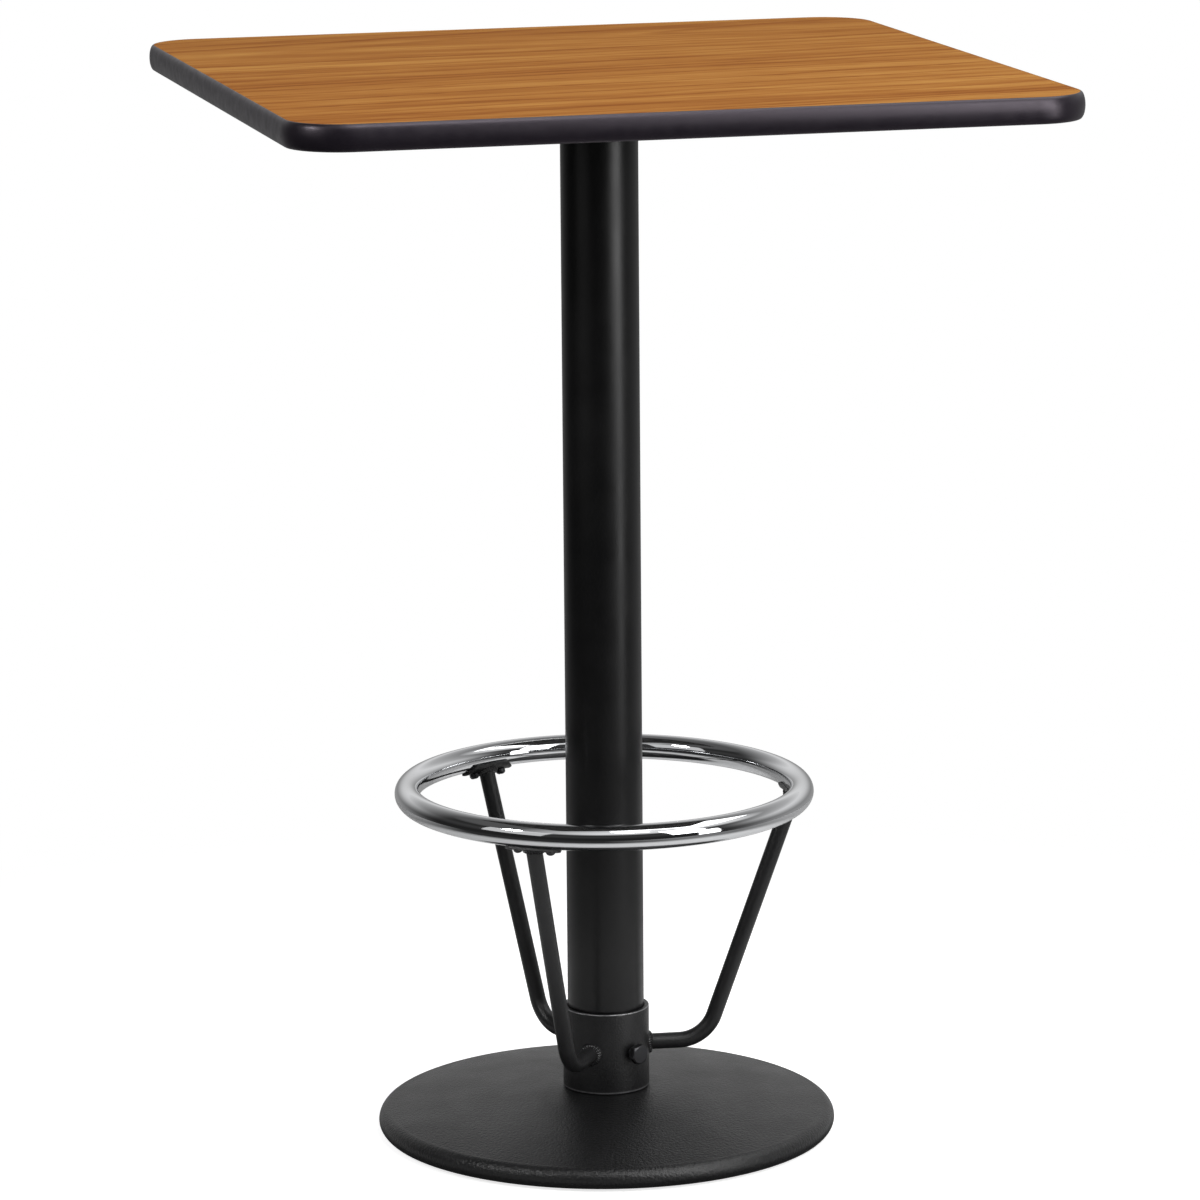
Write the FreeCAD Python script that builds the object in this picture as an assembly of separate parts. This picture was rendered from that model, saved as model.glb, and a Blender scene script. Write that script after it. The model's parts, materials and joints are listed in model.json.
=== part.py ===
import FreeCAD, Part
import math
import os

# Square bar-height pub table: a laminate top with a T-moulded edge on a round column,
# a domed cast base, and a chrome foot ring whose collar slides on the column.
# Millimetres, +Z up. The origin is on the floor, on the column's axis.
# The top's edges lie along X and Y, and its grain runs along X.

# Whole table
table_height = 1066.8
joint_gap = 0.05            # left between curved faces that seat on each other
seat_gap = 0.3              # left under a piece that can be lifted off its seat

# Top panel: laminate on a board core, with a balancing sheet below
top_width = 762.0
top_depth = 762.0
top_thickness = 25.4
top_corner_radius = 57.0
laminate_thickness = 1.0
backer_thickness = 0.8

# T-shaped edge moulding: a convex head with a barbed tongue in a saw slot
moulding_crown = 4.8
tongue_thickness = 1.8
tongue_length = 10.0
tongue_neck = 2.5           # smooth stretch between the head and the first barb
barb_height = 0.6
barb_count = 3
slot_clearance = 0.15

# Cast four-arm spider between the column and the top
spider_spread = 330.0       # tip to tip of two opposite arms
arm_count = 4
arm_turn = 45.0             # degrees from +X to the first arm
arm_tip_width = 34.0
arm_root_width = 46.0
arm_flange = 6.0
arm_rib_width = 9.0
arm_screw_inset = 13.0      # arm tip to its outer screw
arm_screw_pitch = 24.0
rib_screw_gap = 10.0        # rib end to the inner screw's head
hub_wall = 9.0
hub_web = 6.0
socket_depth = 17.0
socket_clearance = 0.25

# Wood screws that hold the spider to the top
wood_screw_diameter = 4.8
wood_screw_length = 22.0
wood_screw_tip = 4.0
wood_screw_point = 0.6      # diameter left at the point
wood_screw_head_diameter = 9.2
wood_screw_head_height = 3.2
pilot_clearance = 0.1
screw_hole_clearance = 0.3
head_rounding = 0.55        # share of a pan head's height that is rounded off
hex_chamfer = 0.3           # share of a hexagon's height that its chamfer takes
hex_face = 0.95             # chamfered face across, as a share of the width across flats

# Column and the threaded rod inside it
column_diameter = 76.2
column_wall = 2.0
tie_rod_diameter = 12.0
tie_rod_clearance = 0.6
tie_rod_stub = 1.5          # rod end left proud of each nut
tie_rod_lift = 8.0          # floor to the rod's lower end
washer_diameter = 28.0
washer_thickness = 2.5
nut_across_flats = 18.0
nut_height = 10.0
nut_room = 0.5              # between the upper rod end and the top

# Cast base: a domed disc with a rounded rim, hollow and ribbed below
base_diameter = 457.2
base_lift = 3.0             # rim off the floor
base_height = 43.5          # floor to the flat pad under the column
pad_margin = 12.0           # pad left round the collar
rim_top = 23.0              # floor to the crease between dome and rim
rim_radius = 12.0
rim_tuck = 4.0              # rim's widest line to its lower edge, drawn in under it
dome_bulge = 3.0
base_wall = 7.0
spigot_height = 14.0
spigot_wall = 7.0
spigot_clearance = 0.4
base_hub_wall = 6.0         # hub left round the column
base_rib_width = 8.0
base_rib_lift = 9.0         # floor to the lower edge of the ribs and glide bosses

# Screw-in levelling glides
glide_count = 4
glide_turn = 45.0           # degrees from +X to the first glide
glide_inset = 38.6          # base edge to a glide's axis
glide_boss_wall = 9.0
glide_stud_diameter = 10.0
glide_stud_engagement = 12.0
glide_stud_room = 1.0       # hole left past the stud's end
glide_stud_clearance = 0.1
glide_foot_diameter = 30.0
glide_foot_edge = 2.0
glide_stud_set = 4.0        # length of stud moulded into the foot

# Foot-ring collar and its set bolts
collar_wall = 4.5
collar_height = 82.55
collar_clearance = 0.5
collar_chamfer = 0.8
bolt_diameter = 12.0
bolt_clearance = 0.08
bolt_tip_gap = 0.1
bolt_head_standoff = 4.5    # from the collar to the underside of the head
bolt_head_height = 7.5
bolt_across_flats = 18.0

# Foot ring, its bent rods and the saddles under it
ring_height = 346.0         # floor to the tube's centre line
ring_radius = 195.5         # to the tube's centre line
ring_tube_diameter = 25.4
ring_tube_wall = 1.6
rod_count = 3
rod_turn = -5.7             # degrees from +X to the first rod
rod_diameter = 16.0
rod_stub = 58.0             # collar to where the two straight runs would meet
rod_bend_radius = 38.0
saddle_thickness = 3.0
saddle_length = 58.0
saddle_span = 104.0         # degrees of the tube that the saddle hugs
saddle_corner = 7.0
saddle_screw_gap = 1.2      # weld toe to the edge of a screw's head
saddle_screw_diameter = 4.8
saddle_screw_bite = 8.0     # length of screw past the saddle's inner face
saddle_screw_head_diameter = 9.5
saddle_screw_head_height = 5.0
weld_leg = 3.5

# Worked-out levels and radii
z_underside = table_height - top_thickness
z_core_top = table_height - laminate_thickness
z_core_bottom = z_underside + backer_thickness
z_slot = table_height - top_thickness / 2
hub_height = (socket_depth + hub_web + washer_thickness + nut_height
              + tie_rod_stub + nut_room)
z_hub_bottom = z_underside - hub_height
z_socket_roof = z_hub_bottom + socket_depth
z_nut_floor = z_socket_roof + hub_web
z_rod_top = z_nut_floor + washer_thickness + nut_height + tie_rod_stub
z_base_hub = tie_rod_lift + tie_rod_stub + nut_height + washer_thickness
z_collar = base_height + seat_gap
z_arm = z_collar + collar_height / 2

panel_width = top_width - 2 * moulding_crown
panel_depth = top_depth - 2 * moulding_crown
panel_corner = top_corner_radius - moulding_crown
column_radius = column_diameter / 2
tie_hole_radius = tie_rod_diameter / 2 + tie_rod_clearance
socket_radius = column_radius + socket_clearance
hub_radius = socket_radius + hub_wall
arm_screw_outer = spider_spread / 2 - arm_screw_inset
arm_screw_radii = (arm_screw_outer - arm_screw_pitch, arm_screw_outer)
arm_rib_end = arm_screw_radii[0] - wood_screw_head_diameter / 2 - rib_screw_gap
base_radius = base_diameter / 2
base_hub_radius = column_radius + base_hub_wall
spigot_radius = column_radius - column_wall - spigot_clearance
collar_bore = column_radius + collar_clearance
collar_radius = collar_bore + collar_wall
pad_radius = collar_radius + pad_margin
rod_reach = collar_radius + rod_stub
rod_radius = rod_diameter / 2
tube_radius = ring_tube_diameter / 2
saddle_inner = tube_radius + joint_gap
saddle_outer = saddle_inner + saddle_thickness
saddle_screw_offset = (rod_radius + weld_leg + saddle_screw_gap
                       + saddle_screw_head_diameter / 2)
rod_lean = math.atan2(ring_radius - rod_reach, ring_height - z_arm)
glide_foot_height = base_rib_lift - seat_gap
glide_stud_radius = glide_stud_diameter / 2
glide_boss_radius = glide_stud_radius + glide_boss_wall
glide_circle_radius = base_radius - glide_inset

UP = FreeCAD.Vector(0, 0, 1)
CENTRE = FreeCAD.Vector(0, 0, 0)


def vec(x, y, z):
    return FreeCAD.Vector(x, y, z)


def turned(shape, degrees):
    """A copy of the shape, turned about the column's axis."""
    copy = shape.copy()
    copy.rotate(CENTRE, UP, degrees)
    return copy


def ring_of(shape, count, first):
    """Copies of the shape spread evenly about the column's axis."""
    return [turned(shape, first + 360.0 * i / count) for i in range(count)]


def glide_set(shape):
    return ring_of(shape, glide_count, glide_turn)


def rod_set(shape):
    return ring_of(shape, rod_count, rod_turn)


def bolt_set(shape):
    """A copy of the shape on each side of the first rod, midway to the next one."""
    return [turned(shape, rod_turn + side * 180.0 / rod_count) for side in (1, -1)]


def disc(radius, z_low, z_high, x=0.0, y=0.0):
    return Part.makeCylinder(radius, z_high - z_low, vec(x, y, z_low))


def tube(outer, inner, z_low, z_high):
    return disc(outer, z_low, z_high).cut(disc(inner, z_low, z_high))


def outline_face(points):
    """A flat face from a list of corner points."""
    return Part.Face(Part.makePolygon(points + points[:1]))


def line(start, end):
    return Part.LineSegment(start, end).toShape()


def arc(start, middle, end):
    return Part.Arc(start, middle, end).toShape()


def path_through(points):
    """Straight edges from point to point."""
    return [line(a, b) for a, b in zip(points, points[1:])]


def hexagon(across_flats, height, base, direction):
    """A hexagonal prism that starts at base and grows along direction."""
    corner = across_flats / math.sqrt(3)
    points = [vec(corner * math.cos(math.radians(60 * i)),
                  corner * math.sin(math.radians(60 * i)), 0) for i in range(6)]
    prism = outline_face(points).extrude(vec(0, 0, height))
    plain = height * (1 - hex_chamfer)
    rounded = Part.makeCone(corner, across_flats / 2 * hex_face, height - plain, vec(0, 0, plain))
    chamfered = prism.common(rounded.fuse(disc(corner, 0, plain)))
    chamfered.Placement = FreeCAD.Placement(base, FreeCAD.Rotation(UP, direction))
    return chamfered


def rounded_outline(width, depth, radius, z):
    """Closed wire of a rectangle with round corners, centred on the axis."""
    half_x, half_y = width / 2, depth / 2
    inner_x, inner_y = half_x - radius, half_y - radius
    diagonal = radius * math.sqrt(0.5)
    edges = []
    for sx, sy in ((1, 1), (-1, 1), (-1, -1), (1, -1)):
        on_x = vec(sx * half_x, sy * inner_y, z)
        on_y = vec(sx * inner_x, sy * half_y, z)
        middle = vec(sx * (inner_x + diagonal), sy * (inner_y + diagonal), z)
        start, end = (on_x, on_y) if sx * sy > 0 else (on_y, on_x)
        edges.append((start, middle, end))
    loop = []
    for i, (start, middle, end) in enumerate(edges):
        loop.append(arc(start, middle, end))
        loop.append(line(end, edges[(i + 1) % 4][0]))
    return Part.Wire(loop)


def panel(width, depth, radius, z_low, z_high):
    face = Part.Face(rounded_outline(width, depth, radius, z_low))
    return face.extrude(vec(0, 0, z_high - z_low))


def swept_round_edge(profile):
    """Carries a face, drawn in the XZ plane against the panel's +X edge, round the panel."""
    straight_x = panel_width - 2 * panel_corner
    straight_y = panel_depth - 2 * panel_corner
    corner_x, corner_y = straight_x / 2, straight_y / 2
    pieces = []
    for turn, along in ((0, straight_y), (90, straight_x), (180, straight_y), (270, straight_x)):
        side = profile.copy()
        reach = corner_x if turn in (0, 180) else corner_y
        side.translate(vec(reach + panel_corner, along / 2, 0))
        corner = side.revolve(vec(reach, along / 2, 0), UP, 90)
        pieces.append(turned(side.extrude(vec(0, -along, 0)), turn))
        pieces.append(turned(corner, turn))
    return pieces[0].multiFuse(pieces[1:]).removeSplitter()


def make_top_core():
    """Board with the moulding's saw slot round its edge and pilot holes below."""
    board = panel(panel_width, panel_depth, panel_corner, z_core_bottom, z_core_top)
    half_slot = tongue_thickness / 2 + barb_height + slot_clearance
    slot_depth = tongue_length + slot_clearance
    slab = panel(panel_width, panel_depth, panel_corner, z_slot - half_slot, z_slot + half_slot)
    kept = panel(panel_width - 2 * slot_depth, panel_depth - 2 * slot_depth,
                 panel_corner - slot_depth, z_slot - half_slot, z_slot + half_slot)
    return board.cut(slab.cut(kept)).cut(wood_screw_set(pilot_clearance))


def make_edge_moulding():
    """Half-ellipse head the full thickness of the top, with barbs on both sides of its tongue."""
    half = top_thickness / 2
    root = joint_gap
    crown = Part.Ellipse(vec(root, 0, z_slot + half), vec(moulding_crown, 0, z_slot),
                         vec(root, 0, z_slot))
    head = Part.ArcOfEllipse(crown, -math.pi, 0).toShape()
    if head.CenterOfMass.x < root:
        head = Part.ArcOfEllipse(crown, 0, math.pi).toShape()
    half_tongue = tongue_thickness / 2
    barb_pitch = (tongue_length - tongue_neck) / barb_count
    lower = [vec(root, 0, z_slot - half), vec(root, 0, z_slot - half_tongue)]
    upper = [vec(root, 0, z_slot + half), vec(root, 0, z_slot + half_tongue)]
    for i in range(barb_count):
        back = -tongue_neck - barb_pitch * i
        tip = back - barb_pitch
        for side, sign in ((lower, -1), (upper, 1)):
            side.append(vec(back, 0, z_slot + sign * half_tongue))
            side.append(vec(back, 0, z_slot + sign * (half_tongue + barb_height)))
            side.append(vec(tip, 0, z_slot + sign * half_tongue))
    body = Part.makePolygon(lower + upper[::-1])
    profile = Part.Face(Part.Wire(Part.sortEdges([head] + body.Edges)[0]))
    return swept_round_edge(profile)


def arm_screw_places():
    """Centre and turn of each screw through the spider's arms."""
    turns = [arm_turn + 360.0 * arm / arm_count for arm in range(arm_count)]
    return [(radius, turn) for turn in turns for radius in arm_screw_radii]


def wood_screw_set(extra):
    """Every spider screw, grown by extra all round; with no extra it is the screws themselves."""
    z_seat = z_underside - arm_flange
    shank = wood_screw_length - wood_screw_tip
    radius = wood_screw_diameter / 2 + extra
    screw = disc(radius, z_seat, z_seat + shank + extra)
    screw = screw.fuse(Part.makeCone(radius, wood_screw_point / 2 + extra, wood_screw_tip,
                                     vec(0, 0, z_seat + shank + extra)))
    head = disc(wood_screw_head_diameter / 2 + extra, z_seat - wood_screw_head_height, z_seat)
    if not extra:
        rim = [e for e in head.Edges if e.BoundBox.ZMax < z_seat - wood_screw_head_height / 2]
        head = head.makeFillet(wood_screw_head_height * head_rounding, rim)
    screw = screw.fuse(head).removeSplitter()
    placed = []
    for place, turn in arm_screw_places():
        copy = screw.copy()
        copy.translate(vec(place, 0, 0))
        placed.append(turned(copy, turn))
    return Part.makeCompound(placed)


def make_mounting_spider():
    """Hub with a socket for the column, four flanged arms and a tapering rib under each."""
    tip = spider_spread / 2 - arm_tip_width / 2
    half_root, half_tip = arm_root_width / 2, arm_tip_width / 2
    z_flange = z_underside - arm_flange
    near = vec(tip, -half_tip, z_flange)
    far = vec(tip, half_tip, z_flange)
    edges = [arc(near, vec(tip + half_tip, 0, z_flange), far)]
    edges += path_through([far, vec(0, half_root, z_flange), vec(0, -half_root, z_flange), near])
    flange = Part.Face(Part.Wire(edges)).extrude(vec(0, 0, arm_flange))
    half_rib = arm_rib_width / 2
    rib_root = hub_radius - hub_wall / 2
    rib = outline_face([vec(rib_root, -half_rib, z_flange), vec(arm_rib_end, -half_rib, z_flange),
                        vec(rib_root, -half_rib, z_hub_bottom + hub_wall)])
    arm = flange.fuse(rib.extrude(vec(0, arm_rib_width, 0)))
    spider = disc(hub_radius, z_hub_bottom, z_underside).multiFuse(ring_of(arm, arm_count, arm_turn))
    spider = spider.cut(disc(socket_radius, z_hub_bottom, z_socket_roof))
    spider = spider.cut(disc(washer_diameter / 2 + nut_room, z_nut_floor, z_underside))
    spider = spider.cut(disc(tie_hole_radius, z_socket_roof, z_nut_floor))
    hole_radius = wood_screw_diameter / 2 + screw_hole_clearance
    for place, turn in arm_screw_places():
        spider = spider.cut(turned(disc(hole_radius, z_flange, z_underside, place), turn))
    return spider.removeSplitter()


def make_backer_sheet():
    sheet = panel(panel_width, panel_depth, panel_corner, z_underside, z_core_bottom)
    hole_radius = wood_screw_diameter / 2 + screw_hole_clearance
    holes = [turned(disc(hole_radius, z_underside, z_core_bottom, place), turn)
             for place, turn in arm_screw_places()]
    return sheet.cut(Part.makeCompound(holes))


def make_washer(z_low):
    return tube(washer_diameter / 2, tie_hole_radius, z_low, z_low + washer_thickness)


def make_nut(base, direction):
    """Hexagon nut whose chamfered end points along direction."""
    bore = Part.makeCylinder(tie_rod_diameter / 2 + joint_gap, nut_height, base, direction)
    return hexagon(nut_across_flats, nut_height, base, direction).cut(bore)


def dome_curve(drop, inner_r, outer_r):
    """Three points on the base's dome, lowered by drop, from the inner to the outer radius."""
    crown_r = (pad_radius + base_radius - rim_radius) / 2
    crown_z = (base_height + rim_top) / 2 + dome_bulge
    return [vec(inner_r, 0, base_height - drop), vec(crown_r, 0, crown_z - drop),
            vec(outer_r, 0, rim_top - drop)]


def rim_tuck_curve():
    """Three points on the arc that draws the rim in from its widest line to its lower edge."""
    z_widest = rim_top - rim_radius
    drop = z_widest - base_lift
    radius = (drop ** 2 + rim_tuck ** 2) / (2 * rim_tuck)
    half_turn = math.atan2(drop, radius - rim_tuck) / 2
    return [vec(base_radius, 0, z_widest),
            vec(base_radius - radius * (1 - math.cos(half_turn)), 0,
                z_widest - radius * math.sin(half_turn)),
            vec(base_radius - rim_tuck, 0, base_lift)]


def base_section():
    """Half section of the base: hub, spigot, pad, dome, bulging rim and hollow underside."""
    crease = base_radius - rim_radius
    rim_side = rim_top - rim_radius
    elbow = rim_radius * math.sqrt(0.5)
    inner_rim = base_radius - rim_tuck - base_wall
    spigot_bore = spigot_radius - spigot_wall
    z_spigot = base_height + spigot_height
    above = dome_curve(0, pad_radius, crease)
    below = dome_curve(base_wall, base_hub_radius, crease - base_wall / 2)
    hub_foot = vec(tie_hole_radius, 0, z_base_hub)
    edges = path_through([hub_foot, vec(tie_hole_radius, 0, base_height),
                          vec(spigot_bore, 0, base_height), vec(spigot_bore, 0, z_spigot),
                          vec(spigot_radius, 0, z_spigot), vec(spigot_radius, 0, base_height),
                          above[0]])
    edges.append(arc(*above))
    tuck = rim_tuck_curve()
    edges.append(arc(above[2], vec(crease + elbow, 0, rim_side + elbow), tuck[0]))
    edges.append(arc(*tuck))
    edges += path_through([tuck[2], vec(inner_rim, 0, base_lift), vec(inner_rim, 0, rim_side),
                           below[2]])
    edges.append(arc(*below[::-1]))
    edges += path_through([below[0], vec(base_hub_radius, 0, z_base_hub), hub_foot])
    return Part.Face(Part.Wire(edges))


def bracing_section():
    """Half section of the space under the dome that ribs and bosses fill, to mid-wall."""
    half_wall = base_wall / 2
    reach = base_radius - rim_tuck - half_wall
    roof = dome_curve(half_wall, base_hub_radius, base_radius - rim_radius)
    edges = path_through([roof[0], vec(base_hub_radius, 0, base_rib_lift),
                          vec(reach, 0, base_rib_lift), vec(reach, 0, rim_top - rim_radius), roof[2]])
    edges.append(arc(*roof[::-1]))
    return Part.Face(Part.Wire(edges))


def make_base_disc():
    """Domed shell with a hub, radial ribs, and a bored boss for each glide."""
    shell = base_section().revolve(CENTRE, UP, 360)
    hollow = bracing_section().revolve(CENTRE, UP, 360)
    boss = disc(glide_boss_radius, base_rib_lift, base_height, glide_circle_radius)
    rib = Part.makeBox(base_radius, base_rib_width, base_height, vec(0, -base_rib_width / 2, 0))
    bracing = [piece.common(hollow) for piece in glide_set(boss.fuse(rib))]
    hole = disc(glide_stud_radius + glide_stud_clearance, base_rib_lift,
                base_rib_lift + glide_stud_engagement + glide_stud_room, glide_circle_radius)
    base = shell.multiFuse(bracing)
    return base.cut(Part.makeCompound(glide_set(hole))).removeSplitter()


def make_glide_foot():
    """Round plastic foot with a turned lower edge, moulded round the stud's end."""
    foot = disc(glide_foot_diameter / 2, 0, glide_foot_height, glide_circle_radius)
    lower = [e for e in foot.Edges if e.BoundBox.ZMax < glide_foot_edge]
    foot = foot.makeFillet(glide_foot_edge, lower)
    return foot.cut(disc(glide_stud_radius, glide_foot_height - glide_stud_set, glide_foot_height,
                         glide_circle_radius))


def make_glide_stud():
    return disc(glide_stud_radius, glide_foot_height - glide_stud_set,
                base_rib_lift + glide_stud_engagement, glide_circle_radius)


def make_clamp_collar():
    """Sleeve with eased ends and tapped holes for the two set bolts."""
    z_high = z_collar + collar_height
    sleeve = tube(collar_radius, collar_bore, z_collar, z_high)
    ends = [e for e in sleeve.Edges if len(e.Vertexes) == 1
            and e.Curve.TypeId == "Part::GeomCircle" and e.Curve.Radius > collar_bore]
    sleeve = sleeve.makeChamfer(collar_chamfer, ends)
    hole = Part.makeCylinder(bolt_diameter / 2 + bolt_clearance, collar_radius,
                             vec(0, 0, z_arm), vec(1, 0, 0))
    return sleeve.cut(Part.makeCompound(bolt_set(hole)))


def make_clamp_bolt():
    """Hex-head set bolt lying along +X, its flat tip just off the column."""
    outward = vec(1, 0, 0)
    tip = column_radius + bolt_tip_gap
    head = collar_radius + bolt_head_standoff
    shank = Part.makeCylinder(bolt_diameter / 2, head - tip, vec(tip, 0, z_arm), outward)
    return shank.fuse(hexagon(bolt_across_flats, bolt_head_height, vec(head, 0, z_arm), outward))


def rod_direction():
    """Unit vector up the leaning part of a rod that lies in the XZ plane."""
    return vec(math.sin(rod_lean), 0, math.cos(rod_lean))


def ring_centre():
    return vec(ring_radius, 0, ring_height)


def make_support_rod():
    """Round bar from the collar out, round one bend and up to the saddle."""
    half_turn = (math.pi / 2 - rod_lean) / 2
    tangent = rod_bend_radius * math.tan(half_turn)
    up = rod_direction()
    corner = vec(rod_reach, 0, z_arm)
    bend_start = vec(rod_reach - tangent, 0, z_arm)
    bend_end = corner + up * tangent
    bend_centre = bend_start + vec(0, 0, rod_bend_radius)
    toward = corner - bend_centre
    bend_middle = bend_centre + toward * (rod_bend_radius / toward.Length)
    start = vec(collar_bore, 0, z_arm)
    path = Part.Wire([line(start, bend_start), arc(bend_start, bend_middle, bend_end),
                      line(bend_end, ring_centre())])
    section = Part.Wire(Part.makeCircle(rod_radius, start, vec(1, 0, 0)))
    bar = path.makePipeShell([section], True, False)
    return bar.cut(collar_blank()).cut(saddle_blank())


def collar_blank():
    """Solid cylinder of the collar's outside, grown by the joint gap."""
    return disc(collar_radius + joint_gap, z_collar, z_collar + collar_height)


def saddle_blank():
    """Solid ring of the saddles' outside, grown by the joint gap."""
    return Part.makeTorus(ring_radius, saddle_outer + joint_gap, vec(0, 0, ring_height))


def make_ring_saddle():
    """Stamped plate that hugs the tube's lower side, with clipped corners and two holes."""
    up = rod_direction()
    middle = ring_centre()
    across = vec(math.cos(rod_lean), 0, -math.sin(rod_lean))
    half_span = math.radians(saddle_span / 2)

    def around(radius, angle):
        return middle - up * (radius * math.cos(angle)) + across * (radius * math.sin(angle))

    inner = [around(saddle_inner, a) for a in (-half_span, 0, half_span)]
    outer = [around(saddle_outer, a) for a in (-half_span, 0, half_span)]
    section = Part.Face(Part.Wire([arc(*inner), line(inner[2], outer[2]),
                                   arc(*outer[::-1]), line(outer[0], inner[0])]))
    angle = math.degrees(saddle_length / ring_radius)
    plate = turned(section, -angle / 2).revolve(CENTRE, UP, angle)
    half_length = saddle_length / 2
    half_width = saddle_outer * math.sin(half_span)
    corners = [(half_width, half_length - saddle_corner), (half_width - saddle_corner, half_length),
               (-half_width + saddle_corner, half_length), (-half_width, half_length - saddle_corner)]
    corners += [(-p, -q) for p, q in corners]
    blank = outline_face([middle + across * p + vec(0, q, 0) for p, q in corners])
    plate = plate.common(blank.extrude(up * (-saddle_outer * 2)))
    return plate.cut(saddle_screw_pair(screw_hole_clearance))


def saddle_screw_pair(extra):
    """Two screws of one saddle, grown by extra; with no extra it is the screws themselves."""
    up = rod_direction()
    seat = ring_centre() - up * (saddle_outer + joint_gap)
    shank = Part.makeCylinder(saddle_screw_diameter / 2 + extra,
                              saddle_outer - saddle_inner + saddle_screw_bite, seat, up)
    head = Part.makeCylinder(saddle_screw_head_diameter / 2, saddle_screw_head_height, seat, up * -1)
    if not extra:
        low = [e for e in head.Edges if len(e.Vertexes) == 1
               and (e.CenterOfMass - ring_centre()).Length > saddle_outer + saddle_screw_head_height / 2]
        head = head.makeFillet(saddle_screw_head_height * head_rounding, low)
    swing = math.degrees(math.asin(saddle_screw_offset / ring_radius))
    screw = shank.fuse(head)
    return Part.makeCompound([turned(screw, swing), turned(screw, -swing)])


def make_foot_ring_tube():
    """Hollow ring, drilled from below for the saddle screws."""
    ring = Part.makeTorus(ring_radius, tube_radius, vec(0, 0, ring_height))
    ring = ring.cut(Part.makeTorus(ring_radius, tube_radius - ring_tube_wall, vec(0, 0, ring_height)))
    holes = [solid for pair in rod_set(saddle_screw_pair(pilot_clearance)) for solid in pair.Solids]
    return ring.cut(Part.makeCompound(holes))


def weld_bead(foot, outward, blank):
    """Fillet bead round a rod that leaves the surface of blank at foot."""
    base = foot - outward * weld_leg
    toe = rod_radius + weld_leg
    bead = Part.makeCylinder(toe, weld_leg, base, outward)
    bead = bead.fuse(Part.makeCone(toe, rod_radius, weld_leg, foot, outward))
    rod = Part.makeCylinder(rod_radius + joint_gap, 2 * weld_leg, base, outward)
    return bead.cut(blank).cut(rod).removeSplitter()


def make_collar_weld():
    return weld_bead(vec(collar_radius, 0, z_arm), vec(1, 0, 0), collar_blank())


def make_saddle_weld():
    down_rod = rod_direction() * -1
    return weld_bead(ring_centre() + down_rod * saddle_outer, down_rod, saddle_blank())


def all_nodes():
    """Every piece of the table by name."""
    down = vec(0, 0, -1)
    nodes = {
        "top_core": make_top_core(),
        "top_laminate": panel(panel_width, panel_depth, panel_corner, z_core_top, table_height),
        "backer_sheet": make_backer_sheet(),
        "edge_moulding": make_edge_moulding(),
        "mounting_spider": make_mounting_spider(),
        "spider_screws": wood_screw_set(0),
        "column_tube": tube(column_radius, column_radius - column_wall, base_height, z_socket_roof),
        "tie_rod": disc(tie_rod_diameter / 2, tie_rod_lift, z_rod_top),
        "tie_rod_top_washer": make_washer(z_nut_floor),
        "tie_rod_top_nut": make_nut(vec(0, 0, z_nut_floor + washer_thickness), UP),
        "tie_rod_bottom_washer": make_washer(z_base_hub - washer_thickness),
        "tie_rod_bottom_nut": make_nut(vec(0, 0, z_base_hub - washer_thickness), down),
        "base_disc": make_base_disc(),
        "clamp_collar": make_clamp_collar(),
        "collar_welds": Part.makeCompound(rod_set(make_collar_weld())),
        "foot_ring_tube": make_foot_ring_tube(),
        "saddle_welds": Part.makeCompound(rod_set(make_saddle_weld())),
    }
    screws = [solid for pair in rod_set(saddle_screw_pair(0)) for solid in pair.Solids]
    nodes["saddle_screws"] = Part.makeCompound(screws)
    series = {"clamp_bolt": bolt_set(make_clamp_bolt()),
              "support_rod": rod_set(make_support_rod()),
              "ring_saddle": rod_set(make_ring_saddle()),
              "glide_stud": glide_set(make_glide_stud()),
              "glide_foot": glide_set(make_glide_foot())}
    for name, shapes in series.items():
        for number, shape in enumerate(shapes, 1):
            nodes[f"{name}_{number}"] = shape
    return nodes


def main():
    os.makedirs("parts", exist_ok=True)
    for name, shape in all_nodes().items():
        shape.exportStep(f"parts/{name}.step")


main()
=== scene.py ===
import json
import math
from functools import partial

import bmesh
import bpy
import numpy as np
from bpy.props import FloatProperty, FloatVectorProperty, IntProperty, PointerProperty
from mathutils import Matrix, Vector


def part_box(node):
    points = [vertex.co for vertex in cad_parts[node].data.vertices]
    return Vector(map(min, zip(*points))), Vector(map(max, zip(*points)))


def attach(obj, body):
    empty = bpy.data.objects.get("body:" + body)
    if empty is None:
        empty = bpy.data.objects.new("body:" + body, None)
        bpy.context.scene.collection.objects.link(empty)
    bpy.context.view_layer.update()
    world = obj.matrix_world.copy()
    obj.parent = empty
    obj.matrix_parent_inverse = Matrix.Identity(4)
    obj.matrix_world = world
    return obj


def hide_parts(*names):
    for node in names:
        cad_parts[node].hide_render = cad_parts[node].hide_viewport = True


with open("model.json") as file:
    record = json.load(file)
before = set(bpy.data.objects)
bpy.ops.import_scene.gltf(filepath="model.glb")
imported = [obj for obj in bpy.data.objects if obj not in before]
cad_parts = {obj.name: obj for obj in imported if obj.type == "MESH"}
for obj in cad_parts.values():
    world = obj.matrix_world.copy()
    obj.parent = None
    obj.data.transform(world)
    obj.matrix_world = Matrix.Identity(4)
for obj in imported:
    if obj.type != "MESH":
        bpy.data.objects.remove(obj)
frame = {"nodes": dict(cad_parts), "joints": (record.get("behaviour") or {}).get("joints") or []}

bl_info = {
    "name": "Pub table with a foot ring",
    "version": (1, 0, 0),
    "blender": (4, 5, 0),
    "location": "View3D > Sidebar > Pub table",
    "description": "Finished surfaces, materials and a studio stage round the table's CAD frame",
    "category": "Object",
}

MM = 0.001
TAU = 2 * math.pi
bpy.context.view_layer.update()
AXES = {joint["name"]: joint["axis"] for joint in frame["joints"]}
QUARTERS = [math.pi / 4 + math.pi / 2 * i for i in range(4)]

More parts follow.
